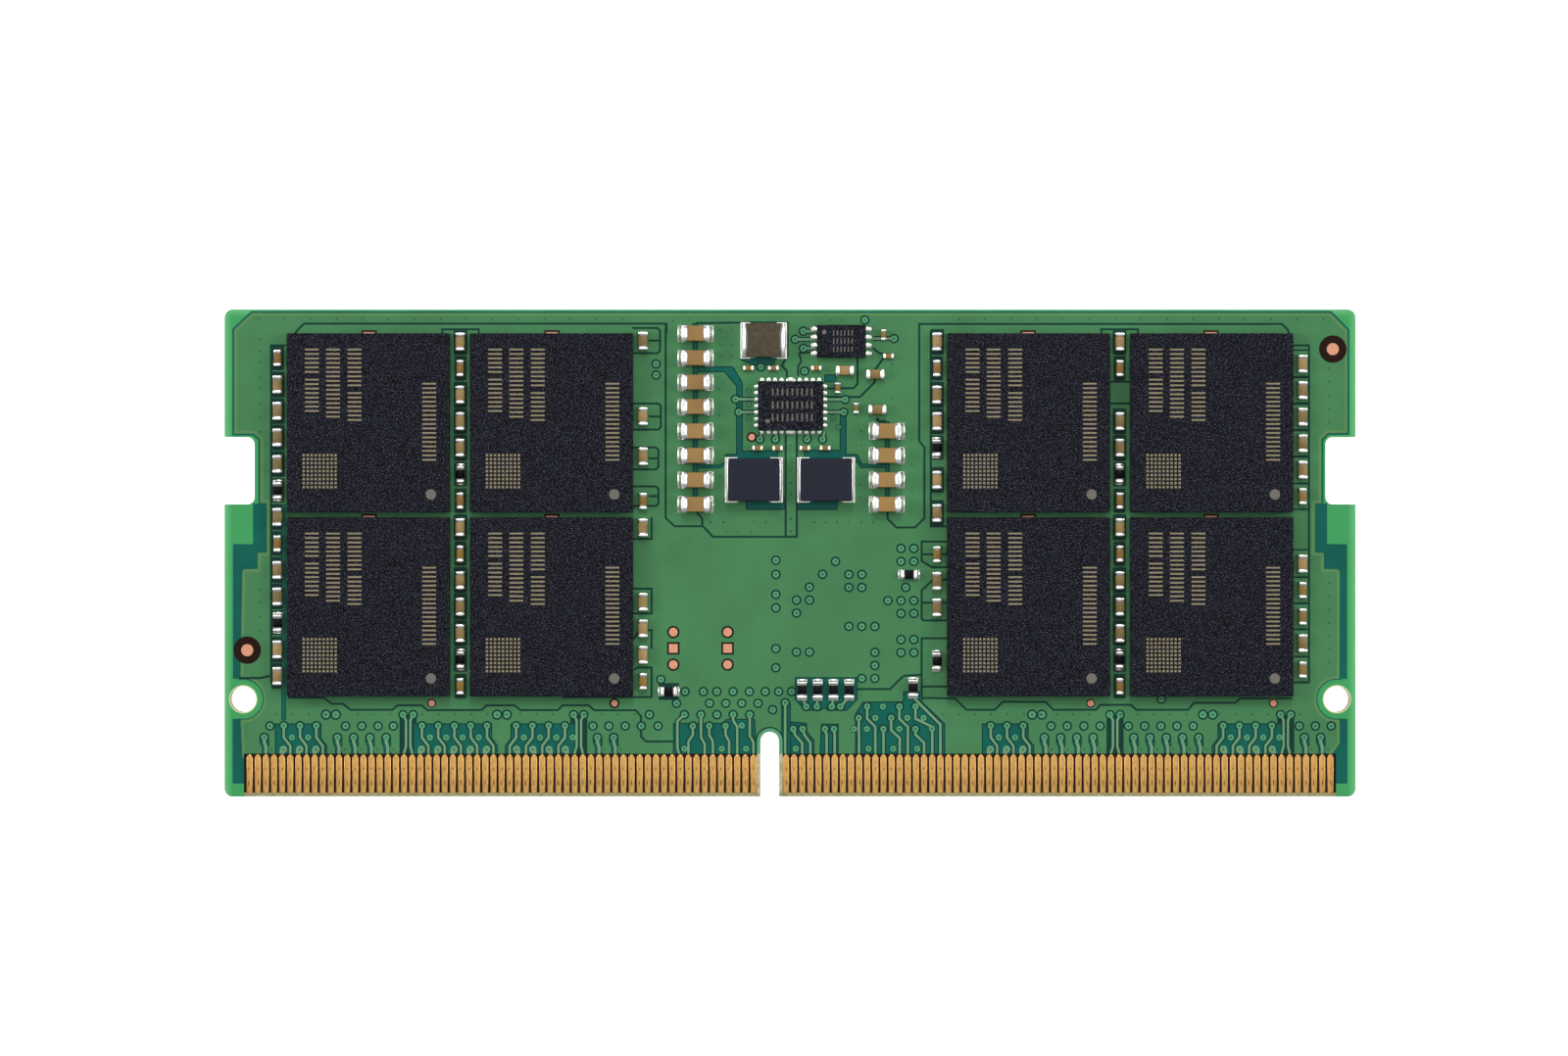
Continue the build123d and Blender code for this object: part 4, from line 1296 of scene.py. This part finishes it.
class MODULE_OT_capacitors(PieceOperator, bpy.types.Operator):
    """Build the ceramic capacitors of every size"""
    bl_idname = "module.capacitors"
    bl_label = "Capacitors"

    def execute(self, context):
        # Barium titanate ceramic, barrel-tumbled and fired: tan to brown, satin, with a
        # slow change of tone so that neighbouring parts differ as batches do.
        tan, buff, brown = (
            finish(f"titanate_ceramic_{name}", linear(base), linear(fleck), grain, 0.42, flecks=flecks,
                   Specular_IOR_Level=0.2)
            for name, base, fleck, grain, flecks in (("tan", "8E6F40", "7A5F36", 4.0, (0.4, 0.7)),
                                                     ("buff", "927A4D", "6C5D38", 3.0, (0.42, 0.6)),
                                                     ("brown", "82662F", "6D5528", 3.0, (0.4, 0.7))))
        # Size code, ceramic, reach of the solder, bow of the ends, rounding, land overhang.
        for code, ceramic, toe, bow, rounding, overhang in (("0603", tan, 0.2, 0.07, 0.04, 0.04),
                                                            ("0402", buff, 0.02, 0.03, 0.04, 0.0),
                                                            ("0201", brown, 0.1, 0.02, 0.02, 0.0)):
            for n, (size, places, turns) in enumerate(chips(f"capacitor_{code}_bodies", 0.02)):
                span, width, height = size
                body = blocks([(0, 0, height / 2)], size - (0.1, 0.03, 0.03), min(rounding, 0.035))
                # The narrowest of this size come from another batch, and are browner.
                made = brown if code == "0402" and width < 0.55 else ceramic
                piece(f"capacitor_{code}_ceramic_{n + 1}", spread(body, places, turns), [made],
                      (f"capacitor_{code}_bodies",) if n == 0 else ())
                ends = both_ways(end_block(span, width, height, 0.2 * span, bow, rounding), places, turns)
                piece(f"capacitor_{code}_ends_{n + 1}", ends, [tin()],
                      (f"capacitor_{code}_terminals",) if n == 0 else ())
                solder_chip_ends(size, places, turns, toe, 0.62, overhang)
        return {"FINISHED"}


class MODULE_OT_resistors(PieceOperator, bpy.types.Operator):
    """Build the chip resistors with their black overcoats"""
    bl_idname = "module.resistors"
    bl_label = "Resistors"

    def execute(self, context):
        # Fired alumina: white and matt.
        alumina = finish("alumina_ceramic", linear("DAD8D0"), linear("C8C5BB"), 0.3, 0.6)
        # Printed epoxy overcoat over the resistive film: black, with a soft shine.
        overcoat = finish("epoxy_overcoat_black", linear("050506"), linear("0D0D10"), 0.15, 0.4, 0.003,
                          Specular_IOR_Level=0.08)
        for size, places, turns in chips("resistor_0402_bodies", 0.02):
            span, width, height = size
            base = blocks([(0, 0, height / 2)], size - (0.06, 0.02, 0.04), 0.015)
            coat = blocks([(0, 0, height - 0.005)], (span - 0.44, width - 0.01, 0.05), 0.015)
            piece("resistor_0402_alumina", spread(base, places, turns), [alumina],
                  ("resistor_0402_bodies",))
            piece("resistor_0402_coats", spread(coat, places, turns), [overcoat],
                  ("resistor_0402_overcoats",))
            ends = both_ways(end_block(span, width, height, 0.2, 0.0, 0.02), places, turns)
            piece("resistor_0402_ends", ends, [tin()], ("resistor_0402_terminals",))
            solder_chip_ends(size, places, turns, 0.13, 0.7, 0.02)
        return {"FINISHED"}


class MODULE_OT_solder(PieceOperator, bpy.types.Operator):
    """Gather the solder of every part into one piece"""
    bl_idname = "module.solder"
    bl_label = "Solder"

    def execute(self, context):
        if not solder_shapes:
            raise RuntimeError("Build the parts first")
        piece("solder_fillets", join(*solder_shapes), [tin()], ("solder_joints",))
        solder_shapes.clear()
        return {"FINISHED"}


class MODULE_PT_panel(bpy.types.Panel):
    """Sidebar list of the module's pieces, sizes and colours"""
    bl_label = "Memory Module"
    bl_space_type = "VIEW_3D"
    bl_region_type = "UI"
    bl_category = "Module"

    def draw(self, context):
        for operator in OPERATORS:
            self.layout.operator(operator.bl_idname)
        for group in (context.scene.module_sizes, context.scene.module_colours):
            for name in group.__annotations__:
                self.layout.prop(group, name)


OPERATORS = (MODULE_OT_stage, MODULE_OT_board, MODULE_OT_masks, MODULE_OT_contacts, MODULE_OT_memory,
             MODULE_OT_leadless, MODULE_OT_inductors, MODULE_OT_capacitors, MODULE_OT_resistors,
             MODULE_OT_solder)
CLASSES = (ModuleSizes, ModuleColours) + OPERATORS + (MODULE_PT_panel,)


def register():
    for cls in CLASSES:
        bpy.utils.register_class(cls)
    bpy.types.Scene.module_sizes = PointerProperty(type=ModuleSizes)
    bpy.types.Scene.module_colours = PointerProperty(type=ModuleColours)


def unregister():
    del bpy.types.Scene.module_colours
    del bpy.types.Scene.module_sizes
    for cls in reversed(CLASSES):
        bpy.utils.unregister_class(cls)


def main():
    """Build every piece in order."""
    register()
    for operator in OPERATORS:
        category, name = operator.bl_idname.split(".")
        getattr(getattr(bpy.ops, category), name)()


if __name__ == "__main__":
    main()
